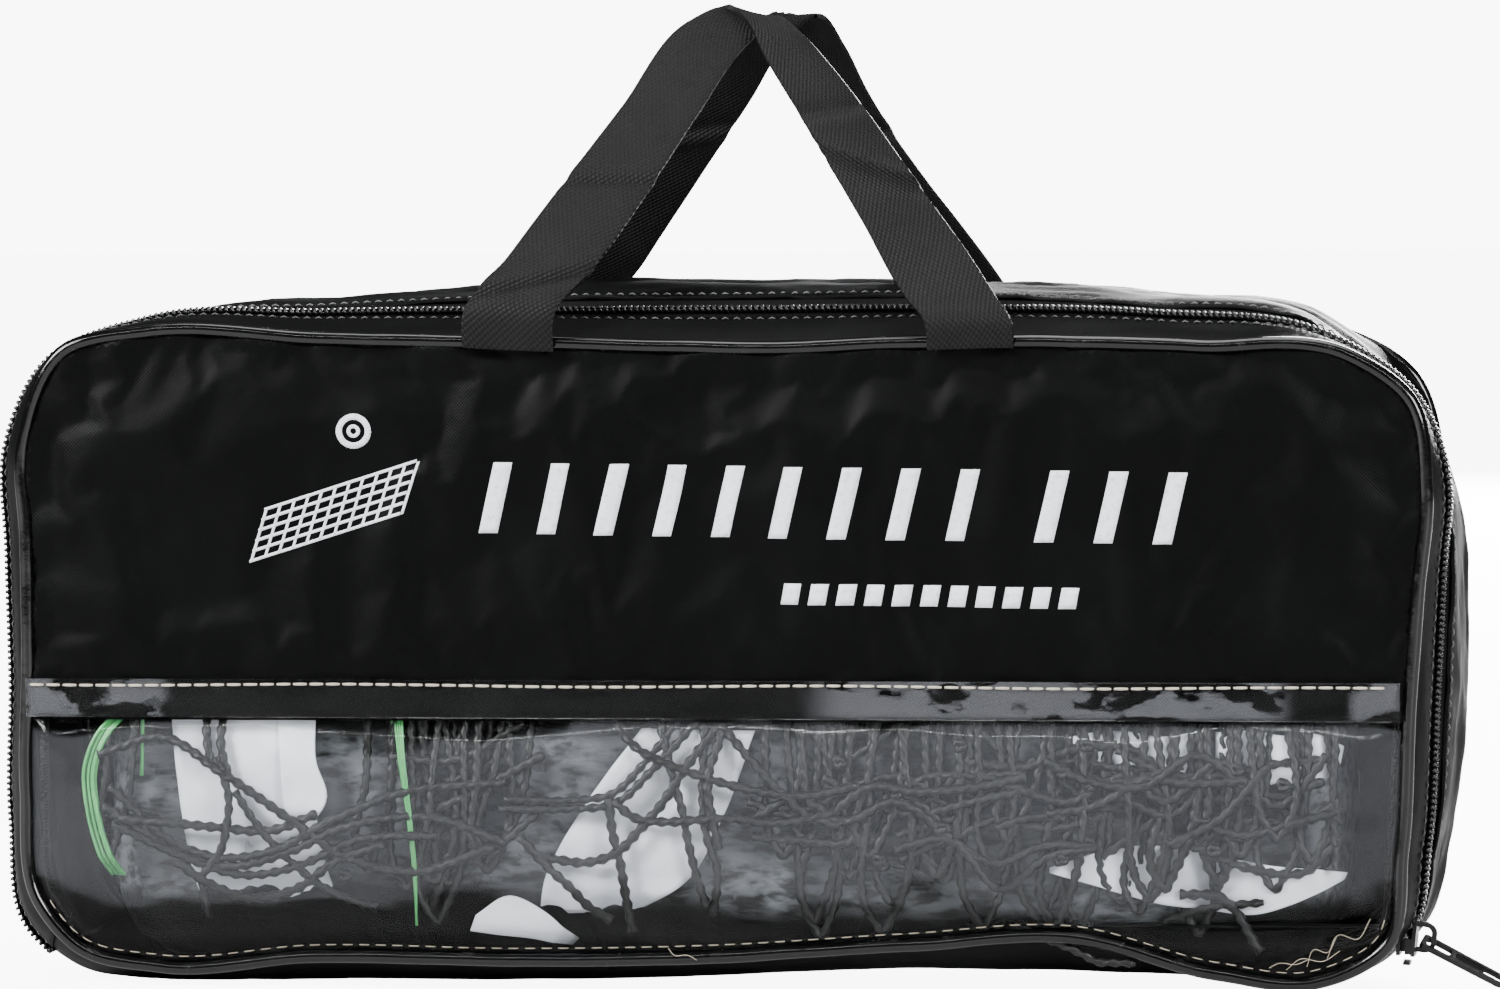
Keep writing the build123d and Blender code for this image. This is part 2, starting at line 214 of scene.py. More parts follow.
def fractal(points, size, octaves=3, shift=0.0):
    """Smooth noise from about -1 to 1 at each point, its largest lumps this size in mm."""
    offset = Vector((shift, shift * 1.7, -shift))
    return np.array(
        [noise.fractal(Vector(p) / size + offset, 1.0, 2.0, octaves) for p in points.reshape(-1, 3)]
    ).reshape(points.shape[:-1])


# ---- Meshes -------------------------------------------------------------------------------------


def grid_faces(rows, cols, close_rows=False, close_cols=False):
    """Quads of a grid of rows x cols points."""
    faces = []
    for r in range(rows if close_rows else rows - 1):
        for c in range(cols if close_cols else cols - 1):
            r2, c2 = (r + 1) % rows, (c + 1) % cols
            faces.append((r * cols + c, r * cols + c2, r2 * cols + c2, r2 * cols + c))
    return faces


def make(name, points, faces, material, uv=None):
    """A mesh object from points in mm. uv gives each point its place on the cloth, in mm."""
    mesh = bpy.data.meshes.new(name)
    points = np.asarray(points, float).reshape(-1, 3)
    mesh.from_pydata((points * MM).tolist(), [], [tuple(int(i) for i in f) for f in faces])
    if uv is not None:
        layer = mesh.uv_layers.new(name="yarn")
        corners = np.zeros(len(mesh.loops), np.int32)
        mesh.loops.foreach_get("vertex_index", corners)
        layer.data.foreach_set("uv", np.asarray(uv, np.float32).reshape(-1, 2)[corners].ravel())
    mesh.polygons.foreach_set("use_smooth", [True] * len(mesh.polygons))
    mesh.materials.append(material)
    mesh.update()
    piece = bpy.data.objects.new(name, mesh)
    bpy.context.scene.collection.objects.link(piece)
    return piece


def thicken(piece, thickness, levels=0):
    """Gives a cloth its thickness in mm, below its face, and smooths it first."""
    if levels:
        smooth = piece.modifiers.new("smooth", "SUBSURF")
        smooth.levels = smooth.render_levels = levels
    cloth = piece.modifiers.new("cloth", "SOLIDIFY")
    cloth.thickness = thickness * MM
    cloth.offset = -1
    return piece


strand_relief = 0.24  # how much of its radius a twisted cord swells and thins by


def tube(path, radius, sides=8, lobes=0, lay=9.0, closed=False):
    """Points and faces of a tube. With lobes it is that many strands twisted once in lay mm."""
    path = np.asarray(path, float)
    ahead = unit(np.roll(path, -1, 0) - np.roll(path, 1, 0) if closed else np.gradient(path, axis=0))
    side = unit(np.cross(ahead, (0, 1, 0)) + 1e-6)
    up = np.cross(side, ahead)
    angle = tau * np.arange(sides) / sides
    along = lengths(path)[:, None]
    size = np.broadcast_to(np.asarray(radius, float), (len(path),))[:, None]
    if lobes:
        size = size * (1 + strand_relief * np.cos(lobes * (angle - tau * along / lay)))
    out = (size * np.cos(angle))[..., None] * side[:, None]
    points = path[:, None] + out + (size * np.sin(angle))[..., None] * up[:, None]
    faces = grid_faces(len(path), sides, close_rows=closed, close_cols=True)
    if not closed:
        last = (len(path) - 1) * sides
        faces += [tuple(range(sides))[::-1], tuple(last + k for k in range(sides))]
    return points.reshape(-1, 3), faces


def gather(parts):
    """One list of points and faces from several."""
    points, faces, start = [], [], 0
    for part_points, part_faces in parts:
        points.append(part_points)
        faces += [tuple(start + i for i in f) for f in part_faces]
        start += len(part_points)
    return np.concatenate(points), faces


def edge_distance(points, outline):
    """Distance of each 2-D point from a closed outline."""
    a = np.asarray(outline, float)
    ab = np.roll(a, -1, 0) - a
    best = np.full(len(points), 1e9)
    for start, line in zip(a, ab):
        t = np.clip(((points - start) @ line) / max(line @ line, 1e-9), 0, 1)
        best = np.minimum(best, np.linalg.norm(points - start - t[:, None] * line, axis=1))
    return best


def inside(points, outline):
    """Which 2-D points are inside a closed outline."""
    a = np.asarray(outline, float)
    b = np.roll(a, -1, 0)
    x, y = points[:, :1], points[:, 1:]
    crosses = (a[:, 1] > y) != (b[:, 1] > y)
    with np.errstate(divide="ignore", invalid="ignore"):
        cut = a[:, 0] + (y - a[:, 1]) * (b[:, 0] - a[:, 0]) / (b[:, 1] - a[:, 1])
    return (crosses & (x < cut)).sum(1) % 2 == 1


def cut_piece(outline, spacing):
    """A flat piece cut to an outline: its 2-D points, triangles, and distances from its edge."""
    outline = even(np.vstack([outline, outline[:1]]), spacing)[:-1]
    low, high = outline.min(0), outline.max(0)
    rows = np.arange(low[1], high[1], spacing * 0.866)
    columns = np.arange(low[0], high[0], spacing)
    inner = np.array([(x + (spacing / 2 if k % 2 else 0), y) for k, y in enumerate(rows) for x in columns])
    inner = inner[inside(inner, outline)]
    inner = inner[edge_distance(inner, outline) > spacing * 0.55]
    count = len(outline)
    points = [Vector(p) for p in np.vstack([outline, inner])]
    made = delaunay_2d_cdt(points, [(k, (k + 1) % count) for k in range(count)], [], 1, 1e-6)
    flat = np.array([tuple(p) for p in made[0]])
    faces = [tuple(f) for f in made[2]]
    return flat, faces, edge_distance(flat, outline)


def simulate(piece, held, looser, pressure, frames, cap):
    """Cloth simulation of a piece with some points held, its cloth looser than its frame."""
    pins = piece.vertex_groups.new(name="held")
    pins.add([int(i) for i in np.nonzero(held)[0]], 1.0, "REPLACE")
    cloth = piece.modifiers.new("drape", "CLOTH")
    for key, value in dict(
        quality=6, mass=0.12, tension_stiffness=12, compression_stiffness=12, shear_stiffness=3,
        bending_stiffness=1.2, air_damping=4, shrink_min=-looser, use_pressure=True,
        uniform_pressure_force=pressure, vertex_group_mass="held",
    ).items():
        setattr(cloth.settings, key, value)
    cloth.settings.effector_weights.gravity = 0
    cloth.point_cache.frame_start, cloth.point_cache.frame_end = 1, frames
    for number in range(1, frames + 1):
        bpy.context.scene.frame_set(number)
    result = piece.evaluated_get(bpy.context.evaluated_depsgraph_get())
    before, after = points_of(piece.data), points_of(result.data)
    move = after - before
    size = np.linalg.norm(move, axis=1, keepdims=True)
    move *= np.minimum(1, cap / np.maximum(size, 1e-9))
    piece.modifiers.remove(cloth)
    piece.vertex_groups.remove(pins)
    set_points(piece, before + move)
    bpy.context.scene.frame_set(1)


def points_of(mesh):
    """A mesh's points, in mm."""
    points = np.zeros(len(mesh.vertices) * 3)
    mesh.vertices.foreach_get("co", points)
    return points.reshape(-1, 3) / MM


def set_points(piece, points):
    piece.data.vertices.foreach_set("co", (points * MM).ravel())
    piece.data.update()


# ---- Materials ----------------------------------------------------------------------------------


class Paint:
    """A node material under construction."""

    def __init__(self, name):
        self.material = bpy.data.materials.new(name)
        self.material.use_nodes = True
        self.nodes = self.material.node_tree.nodes
        self.links = self.material.node_tree.links
        self.shader = self.nodes["Principled BSDF"]
        self.surface = self.nodes["Material Output"].inputs["Surface"]
        self.place = self.node("ShaderNodeTexCoord").outputs["Object"]

    def node(self, kind, settings=None, **inputs):
        made = self.nodes.new(kind)
        for key, value in (settings or {}).items():
            setattr(made, key, value)
        for key, value in inputs.items():
            self.put(made.inputs[key.replace("_", " ")], value)
        return made

    def put(self, socket, value):
        if isinstance(value, bpy.types.NodeSocket):
            self.links.new(value, socket)
        else:
            socket.default_value = value

    def sum(self, operation, a, b=0.0):
        made = self.node("ShaderNodeMath", {"operation": operation})
        self.put(made.inputs[0], a)
        self.put(made.inputs[1], b)
        return made.outputs[0]

    def plus(self, a, b):
        return self.sum("ADD", a, b)

    def times(self, a, b):
        return self.sum("MULTIPLY", a, b)

    def rest(self, a):
        """What a leaves of 1."""
        return self.sum("SUBTRACT", 1.0, a)

    def around(self, value, base, spread):
        """base, and more by spread where the value is 1."""
        return self.plus(self.times(value, spread), base)

    def axes(self, vector):
        return self.node("ShaderNodeSeparateXYZ", Vector=vector).outputs

    def yarn(self):
        """Place on the cloth, in mm, along and across it."""
        return self.axes(self.node("ShaderNodeUVMap", {"uv_map": "yarn"}).outputs["UV"])

    def noise(self, size, detail=3.0, stretch=(1, 1, 1)):
        """Noise from 0 to 1 whose lumps are this size in mm."""
        scaled = self.node("ShaderNodeMapping", Vector=self.place, Scale=stretch).outputs[0]
        fine = {"Scale": 1 / (size * MM), "Detail": detail, "Roughness": 0.55}
        return self.node("ShaderNodeTexNoise", Vector=scaled, **fine).outputs["Fac"]

    def ramp(self, value, low, high):
        """0 below low, 1 above high, smooth between."""
        span = {"Value": value, "From_Min": low, "From_Max": high}
        return self.node("ShaderNodeMapRange", {"interpolation_type": "SMOOTHSTEP"}, **span).outputs[0]

    def mix(self, share, a, b):
        made = self.node("ShaderNodeMix", {"data_type": "RGBA"})
        self.put(made.inputs[0], share)
        self.put(made.inputs[6], a)
        self.put(made.inputs[7], b)
        return made.outputs[2]

    def either(self, share, a, b):
        """One shader or the other, by share."""
        made = self.node("ShaderNodeMixShader")
        for socket, value in zip(made.inputs, (share, a, b)):
            self.put(socket, value)
        return made.outputs[0]

    def weave(self, warp, weft, slant=0.0):
        """Height of woven yarns of these widths in mm. slant turns plain weave to twill."""
        u, v, _ = self.yarn()
        a = self.sum("SINE", self.times(self.plus(u, self.times(v, slant)), pi / warp))
        b = self.sum("SINE", self.times(v, pi / weft))
        return self.around(self.times(a, b), 0.5, 0.5)

    def bump(self, height, distance, strength=1.0, under=None):
        made = self.node("ShaderNodeBump", Height=height, Distance=distance * MM, Strength=strength)
        if under is not None:
            self.put(made.inputs["Normal"], under)
        return made.outputs[0]

    def finish(self, colour, rough, normal=None, **sockets):
        self.put(self.shader.inputs["Base Color"], colour)
        self.put(self.shader.inputs["Roughness"], rough)
        if normal is not None:
            self.put(self.shader.inputs["Normal"], normal)
        for key, value in sockets.items():
            self.put(self.shader.inputs[key.replace("_", " ")], value)
        return self.material


def grey(value, warmth=0.0):
    return (value * (1 + warmth), value, value * (1 - warmth), 1)


def coated_nylon():
    """Black oxford cloth with a thin coat: fine weave, little shine, paler where worn."""
    p = Paint("coated_nylon")
    weave = p.weave(0.55, 0.55)
    worn = p.ramp(p.noise(34, 4), 0.42, 0.7)
    colour = p.mix(worn, grey(0.0006, -0.05), grey(0.0015, -0.06))
    colour = p.mix(p.times(weave, 0.45), colour, grey(0.0035, -0.05))
    normal = p.bump(weave, 0.06, 0.6, p.bump(p.noise(5, 4), 0.25, 0.5))
    return p.finish(colour, p.around(p.noise(9, 3), 0.38, 0.12), normal, Specular_IOR_Level=0.045)


def webbing_cloth():
    """Black polypropylene webbing: thick slanted yarns with a dull shine, a painted highlight on their tops,
    and patches of dust.
    """
    p = Paint("webbing_cloth")
    weave = p.weave(1.05, 0.8, 0.3)
    dust = p.ramp(p.noise(16, 5), 0.4, 0.75)
    # Painted highlight: the yarn tops are painted lighter than the hollows between them.
    colour = p.mix(p.times(weave, 0.9), grey(0.0005), grey(0.007, -0.02))
    colour = p.mix(p.times(dust, 0.22), colour, grey(0.010))
    normal = p.bump(weave, 0.3, 0.9, p.bump(p.noise(2, 3), 0.1, 0.4))
    return p.finish(colour, p.around(p.noise(4, 3), 0.45, 0.2), normal, Specular_IOR_Level=0.12)


def zip_cloth():
    """Black herringbone tape with a matt face."""
    p = Paint("zip_cloth")
    weave = p.weave(0.5, 0.4, 1.0)
    colour = p.mix(weave, grey(0.0012), grey(0.004))
    return p.finish(colour, p.around(p.noise(6), 0.6, 0.2), p.bump(weave, 0.12, 0.7), Specular_IOR_Level=0.08)


def binding_cloth():
    """Black grosgrain ribbon with ribs across it."""
    p = Paint("binding_cloth")
    rib = p.around(p.sum("SINE", p.times(p.yarn()[0], pi / 0.5)), 0.5, 0.5)
    colour = p.mix(rib, grey(0.002), grey(0.007))
    return p.finish(colour, p.around(p.noise(7), 0.55, 0.2), p.bump(rib, 0.15, 0.8), Specular_IOR_Level=0.15)


def piping_vinyl():
    """Glossy black vinyl tube, a little scuffed."""
    p = Paint("piping_vinyl")
    scuff = p.ramp(p.noise(7, 6), 0.52, 0.72)
    colour = p.mix(scuff, grey(0.001), grey(0.003))
    normal = p.bump(p.noise(3.5, 3), 0.12, 0.5)
    return p.finish(colour, p.around(scuff, 0.13, 0.2), normal, Specular_IOR_Level=0.4)


def coil_nylon():
    """Black nylon filament of the zip."""
    p = Paint("coil_nylon")
    streak = p.noise(0.8, 2)
    colour = p.mix(streak, grey(0.0015), grey(0.006))
    return p.finish(colour, p.around(streak, 0.22, 0.2), p.bump(streak, 0.05, 0.4), Specular_IOR_Level=0.5)


def painted_metal():
    """Black enamel on the slider and pull, worn to grey in small patches."""
    p = Paint("painted_metal")
    worn = p.ramp(p.noise(2.2, 6), 0.6, 0.74)
    colour = p.mix(worn, grey(0.006), grey(0.05))
    normal = p.bump(p.noise(0.9, 3), 0.04, 0.5)
    rough = p.around(p.noise(1.2, 4), 0.26, 0.2)
    return p.finish(colour, rough, normal, Metallic=0.2, Specular_IOR_Level=0.4)


def net_twine():
    """Black twisted polyethylene twine with pale fibre highlights."""
    p = Paint("net_twine")
    fibre = p.noise(0.5, 3)
    colour = p.mix(p.ramp(fibre, 0.35, 0.75), grey(0.003), grey(0.012))
    colour = p.mix(p.ramp(p.noise(14, 3), 0.5, 0.8), colour, grey(0.016))
    return p.finish(colour, 0.42, p.bump(fibre, 0.12, 0.7), Specular_IOR_Level=0.3)


def heaped_net():
    """The heap of netting behind the nearest strands: dark, with painted light, grey in a band between two
    heights.
    """
    p = Paint("heaped_net")
    _, _, z = p.axes(p.place)
    strands = p.noise(3.4, 4, (0.35, 1, 1))
    fluff = p.ramp(p.noise(30, 3), 0.3, 0.75)
    # The heap's painted light: grey, paler in fluffy patches, with dark strands.
    lit = p.mix(fluff, grey(0.075, -0.05), grey(0.155, -0.06))
    lit = p.mix(p.ramp(strands, 0.34, 0.6), grey(0.02), lit)
    height = p.plus(z, p.times(p.sum("SUBTRACT", p.noise(90, 2), 0.5), 0.03))
    # The painted light lies between two heights, its lower edge wavy; painted shade, near black, lies below
    # and above it.
    painted_light_band = p.times(p.ramp(height, 0.024, 0.030), p.rest(p.ramp(z, 0.072, 0.080)))
    colour = p.mix(painted_light_band, grey(0.002), lit)
    return p.finish(colour, 0.7, p.bump(strands, 1.0, 0.8), Specular_IOR_Level=0.1)


def white_tape():
    """White coated tape of the net: grey patches of painted shade and soiling, fine threads and a few scuffs.
    """
    p = Paint("white_tape")
    weave = p.weave(0.6, 0.6)
    shade_and_soil = p.ramp(p.noise(22, 5), 0.45, 0.8)
    # Grey patches: painted shade of the soft folds, and soiling.
    colour = p.mix(shade_and_soil, (0.80, 0.82, 0.87, 1), (0.60, 0.62, 0.68, 1))
    colour = p.mix(p.times(weave, 0.12), colour, (0.5, 0.51, 0.55, 1))
    normal = p.bump(weave, 0.05, 0.5, p.bump(p.noise(11, 3), 0.6, 0.5))
    return p.finish(colour, p.around(p.noise(6), 0.42, 0.2), normal, Sheen_Weight=0.1)


def green_twine():
    """Thin bright green plastic twine that ties the bundle."""
    p = Paint("green_twine")
    streak = p.noise(0.9, 4, (1, 1, 0.15))
    colour = p.mix(streak, (0.015, 0.20, 0.04, 1), (0.12, 0.55, 0.17, 1))
    return p.finish(colour, 0.3, p.bump(streak, 0.1, 0.6), Coat_Weight=0.3)


def sewing_thread(name, dark, light):
    """Twisted sewing thread."""
    p = Paint(name)
    ply = p.noise(0.45, 2)
    return p.finish(p.mix(ply, dark, light), 0.5, p.bump(ply, 0.06, 0.6), Sheen_Weight=0.2)


def ink():
    """Pale screen-printing ink, thin enough that the weave dulls it."""
    p = Paint("ink")
    weave = p.weave(0.55, 0.55)
    thin = p.ramp(p.noise(1.6, 5), 0.45, 0.85)
    colour = p.mix(thin, (0.74, 0.76, 0.80, 1), (0.42, 0.44, 0.48, 1))
    colour = p.mix(p.times(weave, 0.22), colour, (0.35, 0.36, 0.40, 1))
    return p.finish(colour, 0.5, p.bump(weave, 0.05, 0.5))


def clear_film(name, veil_strength, reflection_low, reflection_high, patchy, rough):
    """Clear vinyl: glossy, nearly invisible low down, with a painted reflection between two heights as a grey
    veil.

    The second argument is the veil's strength. patchy breaks the veil into wet-looking islands,
    as where two layers touch, in place of the band.
    """
    p = Paint(name)
    x, _, z = p.axes(p.place)
    wander = p.noise(60, 2, (1, 1, 2.2))
    height = p.plus(z, p.times(p.sum("SUBTRACT", wander, 0.5), 0.045))
    if patchy:
        islands = p.ramp(p.noise(13, 4, (0.7, 1, 1.5)), 0.47, 0.495)
        left = p.rest(p.ramp(x, -0.166, -0.160))
        right = p.times(p.ramp(x, 0.026, 0.042), p.rest(p.ramp(x, 0.165, 0.175)))
        corner = p.ramp(x, 0.188, 0.193)
        reflection_and_islands = p.times(islands, p.plus(left, p.plus(right, corner)))
    else:
        # On the window the veil lies between two heights: a painted reflection.
        low = p.ramp(height, reflection_low * MM, (reflection_low + 3) * MM)
        high = p.rest(p.ramp(height, reflection_high * MM, (reflection_high + 3) * MM))
        reflection_and_islands = p.times(low, high)
    cloud = p.around(p.noise(25, 3), 0.7, 0.5)
    veil = p.times(p.times(reflection_and_islands, cloud), veil_strength)
    ripple = p.bump(p.noise(24, 1, (0.5, 1, 2)), 0.5, 0.3)
    clear = p.node("ShaderNodeBsdfTransparent", Color=(0.96, 0.965, 0.97, 1))
    # The veil's grey, which paints the reflection on the window and the islands on the hem.
    veil_grey = p.node("ShaderNodeBsdfDiffuse", Color=(0.33, 0.34, 0.37, 1))
    shine = p.node("ShaderNodeBsdfGlossy", Roughness=rough, Normal=ripple)
    shine.inputs["Color"].default_value = (1, 1, 1, 1)
    fresnel = p.node("ShaderNodeFresnel", IOR=1.15, Normal=ripple)
    body = p.either(veil, clear.outputs[0], veil_grey.outputs[0])
    p.nodes.remove(p.shader)
    p.put(p.surface, p.either(fresnel.outputs[0], body, shine.outputs[0]))
    return p.material


def studio_floor():
    """Pale floor. The camera sees it lit up to white; the bag is lit only by what falls on it."""
    p = Paint("studio_floor")
    p.finish(p.mix(p.noise(900, 2), grey(0.56), grey(0.58)), 0.6)
    lit, whole = p.node("ShaderNodeEmission", Strength=8.4), p.node("ShaderNodeAddShader")
    p.put(whole.inputs[0], p.shader.outputs[0])
    p.put(whole.inputs[1], lit.outputs[0])
    seen = p.node("ShaderNodeLightPath").outputs["Is Camera Ray"]
    p.put(p.surface, p.either(seen, p.shader.outputs[0], whole.outputs[0]))
    return p.material


NYLON = coated_nylon()
WEBBING = webbing_cloth()
ZIP_CLOTH = zip_cloth()
BINDING = binding_cloth()
PIPING = piping_vinyl()
COIL = coil_nylon()
METAL = painted_metal()
TWINE = net_twine()
HEAP = heaped_net()
TAPE = white_tape()
GREEN = green_twine()
BEIGE_THREAD = sewing_thread("beige_thread", (0.22, 0.19, 0.14, 1), (0.62, 0.56, 0.45, 1))
BLACK_THREAD = sewing_thread("black_thread", grey(0.012), grey(0.05))
DULL_THREAD = sewing_thread("dull_thread", (0.09, 0.075, 0.05, 1), (0.30, 0.26, 0.19, 1))
GREY_THREAD = sewing_thread("grey_thread", grey(0.03), grey(0.11))
INK = ink()
# The window's grey veil, from 26 to 77 mm high, is a painted reflection.
FILM = clear_film("window_vinyl", 0.04, 26.0, 77.0, False, 0.07)
HEM_FILM = clear_film("hem_vinyl", 0.09, 0, 0, True, 0.16)


# ---- Window and panels --------------------------------------------------------------------------

hem_slope = 0.001  # the hem is nearly level
hem_low, hem_high = 80.9, 92.2  # at the middle


def hem_line(x, height):
    return height + hem_slope * np.asarray(x, float)


def seam_outline(points, inset, count=360):
    """A seam's outline, (x, z), drawn in by inset."""
    line = spline(points, np.linspace(0, LOOP, count, endpoint=False))
    ahead = unit(np.roll(line, -1, 0) - np.roll(line, 1, 0))
    inward = np.stack([-ahead[:, 1], ahead[:, 0]], axis=1)
    return line + inward * inset


def part_of(outline, height, side):
    """The part of a closed outline above (side 1) or below (-1) the hem line, closed along it."""
    kept = outline[side * (outline[:, 1] - hem_line(outline[:, 0], height)) > 0]
    start = int(np.argmax(np.linalg.norm(np.roll(kept, 1, 0) - kept, axis=1)))
    kept = np.roll(kept, -start, 0)
    return np.vstack([kept, [(x, hem_line(x, height)) for x in (kept[-1][0], kept[0][0])]])


def puckers(flat, away, size, reach):
    """Small pleats that run in from a seam and fade out over reach mm."""
    pleat = np.array([noise.noise(Vector((x / 13, z / 13, 4.2))) for x, z in flat])
    return size * pleat * np.exp(-away / reach)


def front_panel():
    """The cloth upper panel: simulated loose in its seams, then puckered along them."""
    outline = part_of(seam_outline(FRONT_SEAM, 1.2), hem_low - 1.0, 1)
    flat, faces, away = cut_piece(outline, 3.0)
    depth = front_depth - 0.4 - 1.6 * ease(away / 30)
    depth += puckers(flat, away, 1.7, 12)
    depth -= 0.8 * fractal(np.stack([flat[:, 0], flat[:, 1], 0 * away], 1), 55, 3, 3.1) * ease(away / 8)
    points = np.stack([flat[:, 0], depth, flat[:, 1]], 1)
    panel = make("upper_cloth", points, outward(points, faces, (0, -1, 0)), NYLON, flat)
    along_hem = flat[:, 1] < hem_line(flat[:, 0], hem_high - 2)
    simulate(panel, (away < 0.5) | along_hem, 0.009, 0.3, 26, 4.0)
    thicken(panel, 0.8, levels=1)
    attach(panel, "flap")
    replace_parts(panel, "front_panel")
    return panel


def back_panel():
    """The plain back panel, looser than the front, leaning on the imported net."""
    flat, faces, away = cut_piece(seam_outline(BACK_SEAM, 1.2), 4.0)
    depth = back_depth + 0.4 + 4.5 * ease(away / 45) * np.clip(1.25 - flat[:, 1] / 190, 0.3, 1)
    depth -= puckers(flat, away, 1.7, 12)
    points = np.stack([flat[:, 0], depth, flat[:, 1]], 1)
    panel = make("back_cloth", points, outward(points, faces, (0, 1, 0)), NYLON, flat)
    simulate(panel, away < 0.5, 0.014, 0.3, 22, 5.0)
    thicken(panel, 0.8, levels=1)
    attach(panel, "bag")
    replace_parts(panel, "back_panel")
    return panel


def outward(points, faces, direction):
    """The faces, each turned so that it looks in this direction."""
    f = np.array(faces)
    normal = np.cross(points[f[:, 1]] - points[f[:, 0]], points[f[:, 2]] - points[f[:, 0]])
    backward = normal @ np.array(direction) < 0
    f[backward] = f[backward][:, ::-1]
    return f


film_outline = part_of(seam_outline(FRONT_SEAM, 1.6), hem_low, -1)


film_full, film_reach = 0.86, 16  # share of the CAD window's bulge, and how fast it rises from a seam


def film_bulge(flat, away):
    """How far the window stands out in front of the seam, in mm."""
    full = front_depth - film_front
    bulge = full * (1 - np.exp(-away / film_reach))
    x, z = flat[:, 0], flat[:, 1]
    low = np.exp(-(((z - 15 - 3 * np.sin(x / 70)) / 7) ** 2))
    roll = 1.5 * np.sin(z / 2.5 + 1.4 * np.sin(x / 46) + x / 190)
    soft = fractal(np.stack([x / 3.2, z, 0 * z], 1), 16, 2, 8.3)
    return bulge * film_full + (low * roll + 0.7 * soft) * ease(away / 6)


def window_film():
    """The clear window, bulged by the net, in long rolls near the bottom seam."""
    flat, faces, away = cut_piece(film_outline, 2.4)
    points = np.stack([flat[:, 0], front_depth - 0.4 - film_bulge(flat, away), flat[:, 1]], 1)
    window = make("clear_window", points, outward(points, faces, (0, -1, 0)), FILM)
    thicken(window, 0.5, levels=1)
    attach(window, "flap")
    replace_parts(window, "window_film")
    return window


def strip(name, low_line, high_line, depth, material, rows=6, step=3.0, crumple=0.0):
    """A flat strip of film or cloth between two lines (x, z)."""
    low_line, high_line = np.asarray(low_line, float), np.asarray(high_line, float)
    cols = int(abs(low_line[-1, 0] - low_line[0, 0]) / step)
    t = np.linspace(0, 1, cols)
    ends = [
        np.stack([np.interp(t, np.linspace(0, 1, len(line)), line[:, k]) for k in (0, 1)], 1)
        for line in (low_line, high_line)
    ]
    share = np.linspace(0, 1, rows)[:, None, None]
    xz = ends[0] * (1 - share) + ends[1] * share
    y = depth + crumple * fractal(np.stack([xz[..., 0] / 2, xz[..., 1], 0 * xz[..., 0]], -1), 9, 3, 1.3)
    points = np.stack([xz[..., 0], y, xz[..., 1]], -1)
    faces = outward(points.reshape(-1, 3), grid_faces(rows, cols), (0, -1, 0))
    return make(name, points, faces, material, xz)


def window_hem():
    """The folded double edge of the window film, sewn over the panel."""
    left, right = -205.5, 204.5
    low = [(x, hem_line(x, hem_low)) for x in (left, right)]
    high = [(x, hem_line(x, hem_high)) for x in (left, right)]
    hem = strip("window_edge", low, high, front_depth - 3.2, HEM_FILM, crumple=0.25)
    thicken(hem, 0.9)
    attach(hem, "flap")
    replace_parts(hem, "window_hem")
    return hem


def surface(piece):
    """A finished piece's surface, to lay things on."""
    return BVHTree.FromObject(piece, bpy.context.evaluated_depsgraph_get())


def laid_on(tree, x, z, proud, fallback):
    """Depth of a point laid on a front surface, proud mm in front of it."""
    hit = tree.ray_cast(Vector((x * MM, -0.2, z * MM)), Vector((0, 1, 0)))[0]
    return (hit.y / MM if hit else fallback) - proud


def stitches(name, path, out, length, gap, radius, material, body):
    """A row of sewn stitches along a path, each a short bowed thread. out points off the cloth."""
    path = even(path, 0.5)
    out = np.broadcast_to(out, path.shape) if np.ndim(out) == 1 else even_like(out, len(path))
    per, pitch = int(length / 0.5), int((length + gap) / 0.5)
    parts = []
    for start in range(0, len(path) - per, pitch):
        run = path[start : start + per + 1 : 2]
        arch = np.sin(np.linspace(0, pi, len(run)))[:, None]
        lift = out[start : start + per + 1 : 2] * (arch * 0.35 - 0.1)
        parts.append(tube(run + lift, radius * (0.7 + 0.3 * arch[:, 0]), 6))
    points, faces = gather(parts)
    row = make(name, points, faces, material)
    if body:
        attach(row, body)
    return row


def even_like(values, count):
    """values resampled to count rows."""
    t = np.linspace(0, 1, len(values))
    wanted = np.linspace(0, 1, count)
    return np.stack([np.interp(wanted, t, values[:, k]) for k in range(values.shape[1])], 1)


# Loose thread tails at the bottom seam: where each starts, and how far it runs across and up
TAILS = [(166, 9, 12, 3), (171, 8.5, 16, 6), (177, 9.5, 9, 9), (183, 12, 13, 12), (-12, 13, 9, -3)]


